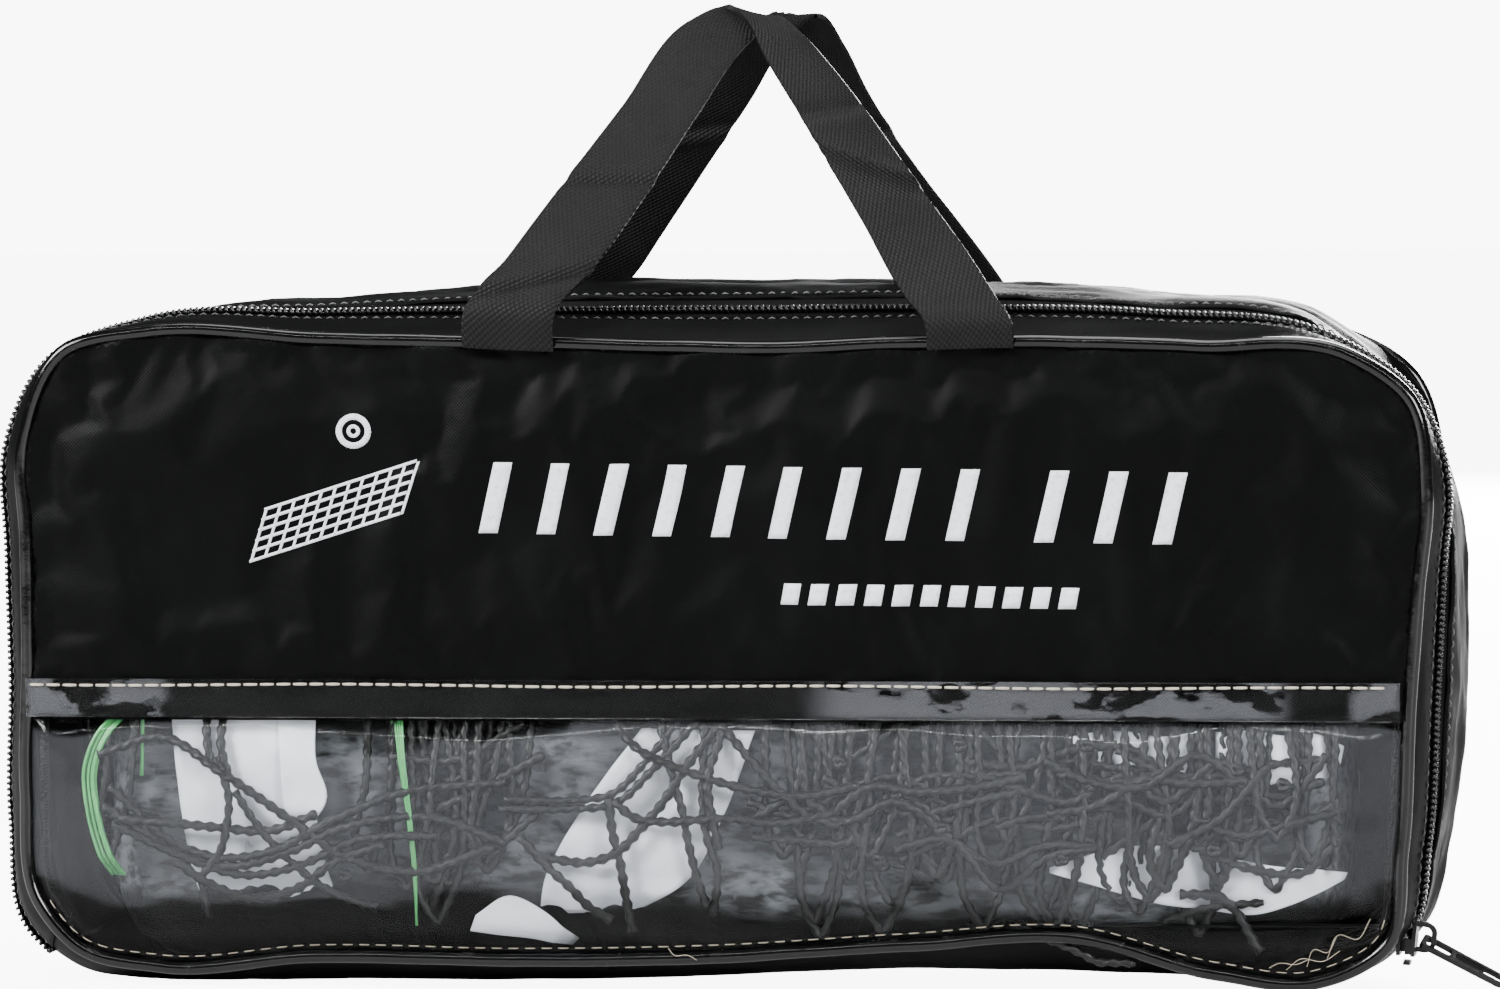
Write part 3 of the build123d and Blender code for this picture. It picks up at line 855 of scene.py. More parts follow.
def window_stitching(hem):
    """Pale stitches along the hem and round the window's bottom seam, with loose tails."""
    tree = surface(hem)
    xs = np.linspace(-204, 203.5, 260)
    z = hem_line(xs, hem_high - 1.6) + 0.3 * np.sin(xs / 23)
    y = [laid_on(tree, x, h, 0.25, front_depth - 3.6) for x, h in zip(xs, z)]
    row = np.stack([xs, y, z], 1)
    stitches("hem_stitches", row, (0, -1, 0), 4.0, 1.2, 0.42, BEIGE_THREAD, "flap")
    outline = seam_outline(FRONT_SEAM, 3.6, 900)
    low = outline[(outline[:, 1] < 26)]
    start = int(np.argmax(np.linalg.norm(np.roll(low, 1, 0) - low, axis=1)))
    low = np.roll(low, -start, 0)
    away = np.full(len(low), 2.0)
    depth = front_depth - 0.75 - film_bulge(low, away)
    seam = np.stack([low[:, 0], depth, low[:, 1]], 1)
    stitches("seam_stitches", seam, (0, -1, 0), 3.4, 1.6, 0.2, DULL_THREAD, "flap")
    tails = []
    y = front_depth - 6.0
    for x, z, dx, dz in TAILS:
        bends = [(x, y + 3, z), (x + dx * 0.3, y, z + dz * 0.6)]
        bends += [(x + dx * 0.7, y - 0.6, z + dz * 0.5), (x + dx, y, z + dz)]
        tails.append(tube(route(bends, 0.8), 0.14, 5))
    points, faces = gather(tails)
    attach(make("thread_tails", points, faces, DULL_THREAD), "flap")


# ---- Printed marks ------------------------------------------------------------------------------


def slanted_bar(x, z, width, height, slant):
    return [(x, z), (x + width, z), (x + width + slant, z + height), (x + slant, z + height)]


def ring(x, z, outer, inner, sides=32):
    """A ring as a chain of short four-sided pieces."""
    turn = np.linspace(0, tau, sides + 1)
    edge = [np.stack([x + r * np.cos(turn), z + r * np.sin(turn)], 1) for r in (outer, inner)]
    return [[edge[0][k], edge[0][k + 1], edge[1][k + 1], edge[1][k]] for k in range(sides)]


def print_on(name, panel, shapes):
    """Four-sided ink shapes laid on the panel, divided finely enough to follow its folds."""
    tree = surface(panel)
    parts, cloth = [], []
    for shape in shapes:
        a, b, c, d = (np.asarray(p, float) for p in shape)
        cols = max(2, int(np.linalg.norm(b - a) / 1.6) + 1)
        rows = max(2, int(np.linalg.norm(d - a) / 1.6) + 1)
        s, t = np.meshgrid(np.linspace(0, 1, cols), np.linspace(0, 1, rows))
        s, t = s[..., None], t[..., None]
        xz = (a * (1 - s) + b * s) * (1 - t) + (d * (1 - s) + c * s) * t
        xz = xz.reshape(-1, 2)
        y = [laid_on(tree, x, z, 0.16, front_depth - 2) for x, z in xz]
        parts.append((np.stack([xz[:, 0], y, xz[:, 1]], 1), grid_faces(rows, cols)))
        cloth.append(xz)
    points, faces = gather(parts)
    faces = outward(points, faces, (0, -1, 0))
    marks = make(name, points, faces, INK, np.concatenate(cloth))
    thicken(marks, 0.12)
    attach(marks, "flap")
    return marks


print_slope = -0.0137  # the printing falls a little to the right


bar_pitch, bar_gap = 17.4, 9  # the bars stand in two groups, nine and three
dash_pitch = 8.2
ball_middle = (-104.9, 165.8)


def printed_marks(panel):
    """Plain printed shapes in place of the wording and the picture."""
    places = [-68 + bar_pitch * k + (bar_gap if k > 8 else 0) for k in range(12)]
    bars = [slanted_bar(x, 134.6 + print_slope * x, 5.6, 21, 5) for x in places]
    print_on("printed_bars", panel, bars)
    places = [22.5 + dash_pitch * k for k in range(11)]
    dashes = [slanted_bar(x, 115.2 + print_slope * x, 5.2, 6.2, 1.2) for x in places]
    print_on("printed_dashes", panel, dashes)
    corner, across, up = np.array((-137.3, 126.5)), np.array((46.0, 14.5)), np.array((5.0, 15.5))
    feet = [corner + across * k / 11 for k in range(12)]
    lines = [[foot, foot + (0.9, 0.3), foot + up + (0.9, 0.3), foot + up] for foot in feet]
    feet = [corner + up * k / 5 for k in range(6)]
    lines += [[foot, foot + across, foot + across + (0, 0.9), foot + (0, 0.9)] for foot in feet]
    print_on("printed_net", panel, lines)
    print_on("printed_ball", panel, ring(*ball_middle, 5.2, 3.4) + ring(*ball_middle, 2.0, 0.9, 16))


# ---- Walls, seams and zip -----------------------------------------------------------------------


columns_per_place = 34 / 3.0  # places on the outlines are some 34 mm apart


def band(name, first, last, front, back, material, slot, proud=0.0, wrinkle=0.0, rows=8, thickness=0.8):
    """A strip of the wall between two depths, from one place on the outlines to another."""
    cols = int((last - first) * columns_per_place)
    u, depth = np.meshgrid(np.linspace(first, last, cols), np.linspace(front, back, rows))
    points = shell(u, depth)
    normal = wall_normals(points)
    if np.sum(normal[rows // 2, cols // 2] * (points[rows // 2, cols // 2] - (0, 0, 100))) < 0:
        normal = -normal
    along = lengths(points[rows // 2])
    lift = np.full(u.shape, proud)
    if wrinkle:
        share = (depth - front) / (back - front)
        held = np.minimum(share, 1 - share) * 2
        squashed = points * (0.5, 1.6, 0.5)
        lift = lift + wrinkle * fractal(squashed, 26, 4, 2.2) * (0.35 + 0.65 * ease(held))
        pleats = fractal(points * (1, 0.25, 1), 9, 2, 6.6)
        lift = lift + wrinkle * 0.35 * pleats * (1 - ease(held * 2))
    points = points + normal * lift[..., None]
    points[..., 2] = np.maximum(points[..., 2], 0.05)
    uv = np.stack([np.broadcast_to(along, u.shape), depth], -1)
    faces = np.array(grid_faces(rows, cols))
    centre = points.reshape(-1, 3)[faces[len(faces) // 2]]
    turned = np.cross(centre[1] - centre[0], centre[2] - centre[0]) @ (centre[0] - (0, 0, 100)) < 0
    piece = make(name, points, faces[:, ::-1] if turned else faces, material, uv)
    return thicken(piece, thickness)


def opening_edge(piece):
    """Bakes the placement of a piece of the flap's wall into its points."""
    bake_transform(piece)


seam_gap = 0.7  # from a seam's plane to the wall cloth
tape_lap = 1.2  # wall cloth turned in short of the zip tape's edge
tape_under = 1.5  # zip tape that goes under the wall cloth
zip_gap = 0.15  # from the zip's middle to each half of the tape


def walls():
    """Front and back side walls, bottom, and the two halves of the zip tape."""
    span = (right_foot, left_foot)
    depths = (front_depth + seam_gap, tape_edge_front + tape_lap)
    front = band("front_wall_cloth", *span, *depths, NYLON, "bag_cloth", 0.9, 0.7)
    opening_edge(front)
    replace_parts(front, "front_gusset")
    depths = (tape_edge_back - tape_lap, back_depth - seam_gap)
    back = band("back_wall_cloth", *span, *depths, NYLON, "bag_cloth", 0.9, 2.2, rows=26)
    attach(back, "bag")
    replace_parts(back, "back_gusset")
    under = (left_foot - 0.1, LOOP + right_foot + 0.1)
    depths = (front_depth + seam_gap, back_depth - seam_gap)
    bottom = band("bottom_cloth", *under, *depths, NYLON, "bag_cloth", 0.2, 0.8, rows=34)
    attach(bottom, "bag")
    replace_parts(bottom, "bottom_gusset")
    depths = (tape_edge_front - tape_under, zip_depth - zip_gap)
    tape_front = band("front_tape_cloth", *span, *depths, ZIP_CLOTH, "zip_tape", thickness=0.6)
    opening_edge(tape_front)
    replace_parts(tape_front, "front_zip_tape", "zip_end_tapes")
    depths = (zip_depth + zip_gap, tape_edge_back + tape_under)
    tape_back = band("back_tape_cloth", *span, *depths, ZIP_CLOTH, "zip_tape", thickness=0.6)
    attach(tape_back, "bag")
    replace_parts(tape_back, "back_zip_tape")


def wall_path(depth, proud, step=0.6):
    """A line round the wall at one depth, and the outward direction at each of its points."""
    u = np.linspace(right_foot, left_foot, 3000)
    line = even(shell(u, np.full_like(u, depth)), step)
    ahead = unit(np.gradient(line, axis=0))
    out = np.stack([ahead[:, 2], 0 * ahead[:, 0], -ahead[:, 0]], 1)
    return line + out * proud, out


def zip_row(name, side, start):
    """One row of the nylon coil: a filament wound in flat loops whose heads cross the middle."""
    pitch, wide, tall, wire = 1.8, 1.75, 0.62, 0.52
    line, out = wall_path(zip_depth, 0.75, step=pitch / 12)
    along = lengths(line)
    turn = tau * along / pitch + start
    reach = side * (1.55 + wide * np.cos(turn))
    height = tall * np.sin(turn)
    lean = unit(np.gradient(line, axis=0)) * (0.35 * np.cos(turn))[:, None]
    path = line + out * height[:, None] + lean
    path[:, 1] += reach
    ahead = unit(np.gradient(path, axis=0))
    side_way = unit(np.cross(ahead, unit(np.gradient(line, axis=0))))
    up = np.cross(side_way, ahead)
    angle = tau * np.arange(6) / 6
    round_it = np.cos(angle)[:, None] * side_way[:, None] + np.sin(angle)[:, None] * up[:, None]
    points = path[:, None] + wire * round_it
    faces = grid_faces(len(path), len(angle), close_cols=True)
    return make(name, points, faces, COIL)


def zip_coils():
    """Both rows of teeth, and the seams that hold the tape to the walls."""
    front = zip_row("front_teeth", -1, 0.0)
    opening_edge(front)
    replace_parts(front, "front_zip_coil", "zip_end_coils")
    back = zip_row("back_teeth", 1, pi)
    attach(back, "bag")
    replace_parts(back, "back_zip_coil")
    line, out = wall_path(tape_edge_front - 0.6, 1.05)
    opening_edge(stitches("front_zip_stitches", line, out, 2.6, 0.9, 0.26, BLACK_THREAD, None))
    line, out = wall_path(tape_edge_back + 0.9, 1.05)
    stitches("back_zip_stitches", line, out, 2.6, 0.9, 0.26, GREY_THREAD, "bag")


def piping(name, outline, depth, node, body):
    """Vinyl piping round a seam, a little uneven where the cloth pulls at it."""
    u = np.linspace(0, LOOP, 1400, endpoint=False)
    line = spline(outline, u)
    path = np.stack([line[:, 0], np.full(len(u), depth), line[:, 1]], 1)
    pull = fractal(path, 24, 2, 9.1)
    path[:, 1] += 0.35 * pull
    path[:, 2] += 0.25 * fractal(path, 31, 2, 5.5)
    points, faces = tube(path, 2.05 + 0.12 * pull, 14, closed=True)
    made = make(name, points, faces, PIPING)
    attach(made, body)
    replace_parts(made, node)


# The folded ribbon's section: share of its width, and lift in mm
RIBBON_SECTION = [
    (0.0, 0.0), (0.15, 0.8), (0.5, 1.0), (0.85, 0.8), (1.0, 0.0), (0.85, -0.7), (0.5, -0.9), (0.15, -0.7),
]


def seam_binding(name, outline, depth, inward, node, body, lowest=-1.0):
    """Ribbon bound over the raw edges inside a seam."""
    line = seam_outline(outline, 4.2, 500)
    kept = np.nonzero(line[:, 1] > lowest)[0]
    closed = len(kept) == len(line)
    rows = []
    for side, lift in RIBBON_SECTION:
        inset = seam_outline(outline, 4.2 + lift, 500)
        y = depth + inward * (1.5 + 8.0 * side) + 0.2 * np.sin(np.arange(len(line)) / 3.0)
        rows.append(np.stack([inset[:, 0], y, inset[:, 1]], 1)[kept])
    points = np.array(rows)
    along = np.arange(len(kept)) * 2.3
    uv = np.stack([np.broadcast_to(along, points.shape[:2]), points[..., 1]], -1)
    faces = grid_faces(len(rows), len(kept), close_rows=True, close_cols=closed)
    made = make(name, points, faces, BINDING, uv)
    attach(made, body)
    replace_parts(made, node)


# ---- Carry handles ------------------------------------------------------------------------------


def strap(name, edge_a, edge_b, creases, thickness=1.6):
    """Flat webbing between two long edges, each a list of (x, y, z), with creases pressed in.

    A crease is (how far along from 0 to 1, slant in mm across, depth, width).
    """
    a, b = route(edge_a, 1.5), route(edge_b, 1.5)
    count = max(len(a), len(b))
    a, b = even_like(a, count), even_like(b, count)
    across = np.linspace(0, 1, 11)
    points = a[:, None] * (1 - across[:, None]) + b[:, None] * across[:, None]
    ahead, side = np.gradient(points, axis=0), np.gradient(points, axis=1)
    normal = unit(np.cross(side, ahead))
    along = lengths((a + b) / 2)
    place = along[:, None] + 0 * across
    lift = 0.35 * fractal(points, 28, 3, 4.4) - 0.5 * (2 * across - 1) ** 4
    for share, slant, depth, width in creases:
        off = place - share * along[-1] - slant * (across - 0.5)
        lift = lift + depth * np.exp(-((off / width) ** 2))
        lift = lift - 0.45 * depth * np.exp(-(((off - 1.6 * width) / (1.6 * width)) ** 2))
    points = points + normal * lift[..., None]
    uv = np.stack([place, np.broadcast_to(across * 25.4, place.shape)], -1)
    made = make(name, points, grid_faces(count, len(across)), WEBBING, uv)
    edge = made.modifiers.new("cloth", "SOLIDIFY")
    edge.thickness, edge.offset = thickness * MM, 0.0
    soft = made.modifiers.new("edge", "BEVEL")
    soft.width, soft.segments, soft.limit_method = 0.5 * MM, 2, "ANGLE"
    return made


handle_lean = np.tan(radians(24.0))  # each handle leans in, to where they meet
hinge_out = 45.2  # depth of the line each handle folds about, from the middle plane
foot_high, foot_depth = 192, 43.4  # below this height a foot is sewn flat at this depth
leg_behind, leg_before = 1.7, -1.9  # one leg passes behind the other near the crown


def handle_edge(side, up, crown, down):
    """A long edge of a handle, (x, z) points up one leg, over the crown and down the other.

    side is -1 for the front handle and 1 for the back one.
    """
    behind = [leg_behind] * len(up) + [0.0] + [leg_before] * (len(crown) - 1 + len(down))
    edge = []
    for (x, z), shift in zip(up + crown + down, behind):
        y = -hinge_out + max(z - handle_hinge, 0) * handle_lean + shift * ease((z - 240) / 30)
        edge.append((x, side * foot_depth if z < foot_high else -side * y, z))
    return edge


FRONT_EDGES = [
    (
        [(-71.9, 190.5), (-71.5, 199.8), (-58.8, 217.3), (-47.5, 233.4), (-28.3, 260.4), (-9.8, 285.6)],
        [(0.3, 289.6), (7.7, 285.5), (14.6, 274.5)],
        [(27.1, 255.8), (46.1, 226.8), (61.7, 203.0), (65.9, 198.4), (66.6, 189.9)],
    ),
    (
        [(-44.8, 189.2), (-44.2, 199.6), (-32.9, 214.0), (-20.5, 232.9), (-5.5, 258.2), (8.2, 279.0)],
        [(17.4, 286.3), (25.2, 281.4), (33.6, 272.9)],
        [(42.9, 262.2), (66.7, 231.6), (78.4, 217.0), (87.4, 204.2), (91.7, 198.1), (92.1, 190.5)],
    ),
]
BACK_EDGES = [
    (
        [(-66.0, 191.5), (-65.7, 200.6), (-53.2, 218.1), (-34.5, 242.5), (-12.7, 268.0), (9.2, 285.3)],
        [(15.2, 288.3), (18.6, 279.8), (22.9, 265.8)],
        [(31.6, 245.9), (42.1, 224.0), (53.1, 205.3), (55.5, 199.4), (56.0, 190.5)],
    ),
    (
        [(-41.2, 191.2), (-40.8, 200.4), (-31.7, 213.0), (-13.9, 236.9), (5.0, 261.9), (18.1, 279.8)],
        [(27.6, 287.2), (34.0, 277.7), (39.7, 264.7)],
        [(52.3, 242.7), (66.4, 222.2), (78.3, 204.0), (81.1, 199.1), (81.0, 190.3)],
    ),
]
FRONT_CREASES = [(0.085, 14, -1.3, 2.6), (0.235, 3, -0.9, 2.0), (0.66, -9, 1.2, 2.6), (0.735, 10, -1.4, 2.8)]
BACK_CREASES = [(0.3, 8, 1.0, 2.5), (0.7, -6, 1.1, 2.8)]


def handles():
    """Two webbing loops. Each runs up one leg, rolls over at the crown and comes down the other."""
    for end, side, edges, creases, body in (
        ("front", -1, FRONT_EDGES, FRONT_CREASES, "flap"),
        ("back", 1, BACK_EDGES, BACK_CREASES, "bag"),
    ):
        edge_a, edge_b = (handle_edge(side, *edge) for edge in edges)
        loop = strap(end + "_strap", edge_a, edge_b, creases)
        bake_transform(loop)
        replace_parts(loop, end + "_handle", end + "_handle_tabs")


# ---- Packed net ---------------------------------------------------------------------------------

net_low, net_high = box_mm("net_mesh")


def squared(angle):
    """How far across and up a rounded square's outline is at each angle."""
    size = (np.abs(np.cos(angle)) ** 5 + np.abs(np.sin(angle)) ** 5) ** -0.2
    return np.cos(angle) * size, np.sin(angle) * size


def net_bundle():
    """The heap of folded netting, as a lumpy closed roll."""
    cols, rows, floor = 150, 64, 8.0
    s, angle = np.meshgrid(np.linspace(0, 1, cols), np.linspace(0, tau, rows, endpoint=False))
    centre, half = (net_low + net_high) / 2, (net_high - net_low) / 2
    taper = np.clip(1 - np.abs(2 * s - 1) ** 22, 0.02, 1) ** 0.5
    across, up = squared(angle)
    x = centre[0] + half[0] * (2 * s - 1)
    y = centre[1] + (half[1] - 1) * across * taper
    z = centre[2] + (half[2] - 1) * up * taper
    points = np.stack([x, y, z], -1)
    ridge = np.abs(fractal(points * (1, 1, 0.6), 12, 3, 7.7)) + 0.5 * fractal(points, 45, 2, 2.5)
    inward = unit(np.stack([0 * x, centre[1] - y, centre[2] - z], -1))
    points = points + inward * (1.0 + 4.5 * ridge[..., None])
    points[..., 2] = np.maximum(points[..., 2], floor)
    bundle = make("net_bundle", points, grid_faces(rows, cols, close_rows=True), HEAP)
    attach(bundle, "bag")
    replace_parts(bundle, "net_mesh")


def cord_depth(xz, share):
    """Depth of a net cord between the heap and the window: share is 0 at the heap, 1 at the film."""
    outline = even(np.vstack([film_outline, film_outline[:1]]), 8.0)[:-1]
    away = edge_distance(xz, outline) * np.where(inside(xz, outline), 1, 0)
    near = front_depth - film_full * (front_depth - film_front) * (1 - np.exp(-away / film_reach)) + 1.6
    far = net_low[1] + 1.0
    return far * (1 - share) + np.minimum(near, far) * share


cord_radius = 1.3


def cord(points, share, wave=0.0):
    """One strand of the net along (x, z) points, at a share of the depth behind the window."""
    flat = route(np.asarray(points, float), 0.75)
    flat[:, 0] = np.clip(flat[:, 0], net_low[0] + 2, net_high[0] - 2)
    flat[:, 1] = np.clip(flat[:, 1], 9, net_high[2] - 3)
    shift = rng.uniform(0, 100)
    t = np.arange(len(flat)) / 20  # radians, so that a wave is some 94 mm long
    flat = flat + wave * np.stack([np.sin(t + shift), np.cos(t * 1.3 + shift)], 1)
    y = cord_depth(flat, share) + 0.8 * np.sin(t * 0.9 + shift)
    path = np.stack([flat[:, 0], y, flat[:, 1]], 1)
    return tube(path, cord_radius * rng.uniform(0.88, 1.08), 8, lobes=2, lay=8.0)


# Strands that cross the white bands, (x, z) from one end to the other
NEAR_CORDS = [
    [
        (-184.7, 69.4), (-165.0, 75.0), (-145.4, 63.8), (-124.7, 50.1),
        (-110.0, 40.5), (-88.3, 35.2), (-62.5, 42.6),
    ],
    [(-176.9, 50.5), (-164.1, 49.0), (-147.4, 47.7), (-132.6, 47.4), (-117.8, 52.5)],
    [
        (-182.8, 53.6), (-160.2, 41.2), (-144.5, 36.7), (-124.8, 40.6),
        (-108.0, 48.4), (-84.2, 51.9), (-60.5, 43.6),
    ],
    [(-178.8, 48.6), (-157.3, 38.6), (-141.6, 34.2), (-123.8, 36.8), (-104.1, 44.3), (-80.3, 45.9)],
    [
        (-180.8, 59.5), (-162.2, 44.4), (-147.4, 39.4), (-129.7, 40.9),
        (-111.9, 50.4), (-92.1, 59.0), (-60.4, 61.4),
    ],
    [(-159.2, 37.4), (-149.4, 30.4), (-139.6, 26.9), (-124.8, 29.9), (-112.0, 38.6), (-96.2, 43.2)],
    [(-147.3, 68.8), (-143.4, 55.9), (-144.1, 49.0), (-146.4, 41.1), (-152.4, 33.4), (-151.4, 21.5)],
    [(-141.5, 58.8), (-135.6, 49.4), (-126.8, 38.8), (-115.0, 29.7), (-100.2, 24.5)],
    [(-152.2, 81.7), (-151.7, 74.8), (-149.8, 66.9)],
    [(-146.9, 81.6), (-147.3, 72.7), (-144.4, 62.8)],
    [(-60.4, 56.5), (-41.6, 56.5), (-28.6, 59.2), (-19.6, 67.7), (-12.6, 75.5)],
    [(-62.4, 53.5), (-42.6, 54.2), (-26.7, 56.9), (-17.6, 64.7), (-8.6, 73.4)],
    [(-29.6, 56.9), (-28.7, 47.0), (-26.8, 39.0), (-24.9, 27.1), (-23.0, 18.2)],
    [(-47.7, 39.4), (-36.7, 38.7), (-26.8, 42.0), (-19.8, 48.4), (-13.7, 54.7), (-5.7, 66.4), (1.4, 76.3)],
    [(-27.7, 56.9), (-21.7, 52.4), (-11.8, 50.7), (-1.8, 51.0), (7.2, 51.3), (19.1, 50.1), (37.2, 53.8)],
    [(-18.6, 70.6), (-9.7, 66.5), (0.3, 63.1), (13.2, 60.2), (27.2, 58.9), (45.2, 61.6)],
    [(-13.6, 74.5), (-10.7, 63.5), (-7.8, 53.6), (-5.9, 44.6), (-3.0, 33.6), (-0.0, 24.7)],
    [(-1.6, 76.3), (-1.4, 53.5), (0.1, 45.5), (3.1, 36.5), (1.9, 22.6)],
    [(3.4, 74.2), (0.8, 63.4), (1.7, 53.4), (4.1, 42.4)],
    [(7.4, 75.2), (15.3, 66.1), (22.2, 59.0), (28.2, 53.9), (39.1, 49.8)],
    [(-56.5, 45.5), (-47.7, 36.4), (-41.8, 31.4), (-36.8, 26.3), (-28.9, 21.2)],
]


hidden_at = 92.0  # behind the cloth, above the window's hem

# Stretches of the window where the white bands show nearly clear
CLEAR_BANDS = [(-166.0, -113.0), (-48.0, 10.0)]


def clear_of_bands(low, high):
    return all(high < first or low > last for first, last in CLEAR_BANDS)


def carried_on(points):
    """The strand, with an end that stops near the hem carried on behind the cloth."""
    more = []
    for (x, z), (x_before, z_before) in ((points[0], points[1]), (points[-1], points[-2])):
        lean = np.clip((x - x_before) / max(z - z_before, 1.0), -0.8, 0.8)
        more.append([(x + lean * (hidden_at - z), hidden_at)] if z > 70 else [])
    return more[0] + points + more[1]


def twine(name, parts):
    """One piece of the net from several strands."""
    points, faces = gather(parts)
    piece = make(name, points, faces, TWINE)
    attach(piece, "bag")
    return piece


def net_cords():
    """Strands in front of the heap: the near ones over the white bands, then hanks and loops."""
    near = [cord(carried_on(points), rng.uniform(0.78, 0.95), 0.5) for points in NEAR_CORDS]
    hanks = []
    for start in np.arange(-186, 150, 22.0):
        base = rng.uniform(28, 66)
        for _ in range(3):
            z = base + rng.uniform(-7, 7)
            hops = [(start + 15 * k, z + rng.uniform(-8, 8)) for k in range(5)]
            share = rng.uniform(0.35, 0.8)
            if clear_of_bands(start, start + 60):
                hanks.append(cord(hops, share, 0.9))
    loops = []
    for x in np.arange(-182, 184, 6.0):
        top, foot = rng.uniform(85, 95), rng.uniform(16, 48)
        wide, x = rng.uniform(-7, 7), x + rng.uniform(-2, 2)
        side = [(x, top), (x + wide * 0.4, (top + foot) / 2), (x + wide, foot + 4)]
        back = [(x + wide + 3, foot), (x + wide + 6, foot + 5), (x + 9, top)]
        share = rng.uniform(0.15, 0.7)
        if clear_of_bands(x - 4, x + 10):
            loops.append(cord(side + back, share, 0.6))
    crossed = []
    for _ in range(40):
        x, z = rng.uniform(-176, 150), rng.uniform(20, 72)
        run, rise = rng.uniform(16, 44), rng.uniform(-30, 30)
        bend = (x + run * 0.5, z + rise * 0.4 + rng.uniform(-6, 6))
        share = rng.uniform(0.3, 0.85)
        if clear_of_bands(x, x + run):
            crossed.append(cord([(x, z), bend, (x + run, z + rise)], share, 0.7))
    high = []
    for x in np.arange(-182, 176, 9.0):
        z = rng.uniform(84, 104)
        hops = [(x, z), (x + 10, z + rng.uniform(-9, 6)), (x + 26, z + rng.uniform(-9, 6))]
        hops.append((x + 38, rng.uniform(84, 104)))
        high.append(cord(hops, 0.1, 1.2))
    twine("net_near_cords", near)
    twine("net_hanks", hanks)
    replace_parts(twine("net_hanging_loops", loops), "net_loops")
    twine("net_crossings", crossed)
    twine("net_upper_cords", high)


def knots():
    """Net knots: a short curl of twine where strands cross."""
    parts, turn = [], np.linspace(0, 2.4 * pi, 26)
    size = 1.25 * (1 - 0.25 * np.cos(turn * 0.8))
    for _ in range(30):
        x, z = rng.uniform(-176, 176), rng.uniform(30, 74)
        if clear_of_bands(x - 3, x + 3):
            y = float(cord_depth(np.array([[x, z]]), 0.75)[0]) - 0.5 * np.sin(turn * 1.5)
            path = np.stack([x + size * np.cos(turn), y, z + size * np.sin(turn) * 0.8], 1)
            parts.append(tube(path, 1.05, 8, lobes=2, lay=5.0))
    twine("net_knots", parts)


# White tapes where their folds show behind the strands. Each fold is (x, z) points along two of its
# edges, and its share of the depth from the heap to the window.
HEADBAND_FOLDS = [
    (
        [(-163.0, 83.9), (-160.2, 59.1), (-157.3, 39.4), (-154.4, 23.6)],
        [(-122.6, 83.2), (-120.7, 64.4), (-116.9, 42.6), (-114.0, 26.8)],
        0.3,
    ),
    (
        [(-130.5, 83.3), (-128.6, 64.5), (-127.7, 52.7), (-126.7, 44.7)],
        [(-118.7, 83.1), (-118.3, 68.3), (-114.9, 56.4), (-120.8, 46.6)],
        0.52,
    ),
    (
        [(-20.5, 77.6), (-38.6, 53.1), (-48.7, 35.5), (-52.7, 21.7)],
        [(13.4, 77.1), (4.2, 52.4), (-6.9, 32.7), (-22.9, 23.1)],
        0.3,
    ),
    (
        [(-70.6, 22.0), (-60.6, 27.8), (-50.7, 23.6), (-40.9, 14.5)],
        [(-72.6, 17.1), (-62.7, 15.9), (-52.8, 14.8), (-42.9, 12.6)],
        0.4,
    ),
]
SIDE_FOLDS = [
    (
        [(108, 73), (116, 67), (124, 62.5), (134, 62), (142, 66), (150, 64)],
        [(108, 76), (116, 77.5), (124, 77.5), (134, 76), (142, 77), (150, 77.5)],
        0.3,
    ),
    (
        [(101, 36), (110, 33.5), (122, 30), (134, 27), (151, 25)],
        [(101, 37.5), (110, 40.5), (122, 43.5), (134, 44), (151, 41)],
        0.34,
    ),
]
BOTTOM_FOLDS = [
    (
        [(150, 64), (160, 61), (170, 63), (180, 62), (186, 68)],
        [(150, 77.5), (160, 78), (170, 76.5), (180, 77), (187, 73)],
        0.28,
    ),
    (
        [(150, 25), (160, 24), (172, 27), (181, 31), (187, 34)],
        [(150, 41), (160, 39.5), (172, 38), (181, 37.5), (188, 36)],
        0.3,
    ),
]


def tape_folds(name, folds, node, cols=18):
    """White tape folded flat in the bundle, its far end tucked in."""
    parts, cloth = [], []
    for number, (left, right, share) in enumerate(folds):
        a, b = route(left, 2.0), route(right, 2.0)
        count = max(len(a), len(b))
        a, b = even_like(a, count), even_like(b, count)
        s = np.linspace(0, 1, cols)[:, None]
        flat = (a[:, None] * (1 - s) + b[:, None] * s).reshape(-1, 2)
        spread = np.stack([flat[:, 0], flat[:, 1], 0 * flat[:, 0]], 1)
        tucked = 7.0 * ease(np.repeat(np.linspace(0, 1, count), cols) * 4 - 3.2)
        y = cord_depth(flat, share) + 2.0 * fractal(spread, 22, 3, 3.3 + number) + tucked
        parts.append((np.stack([flat[:, 0], y, flat[:, 1]], 1), grid_faces(count, cols)))
        cloth.append(flat)
    points, faces = gather(parts)
    piece = make(name, points, outward(points, faces, (0, -1, 0)), TAPE, np.concatenate(cloth))
    thicken(piece, 0.7)
    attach(piece, "bag")
    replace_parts(piece, node)
    return piece


def net_tapes():
    """The net's white tapes. Their flat sizes are those of the stretches that show."""
    headband = tape_folds("headband_folds", HEADBAND_FOLDS, "headband_tape")
    side = tape_folds("side_tape_folds", SIDE_FOLDS, "side_tape")
    bottom = tape_folds("bottom_tape_folds", BOTTOM_FOLDS, "bottom_tape")


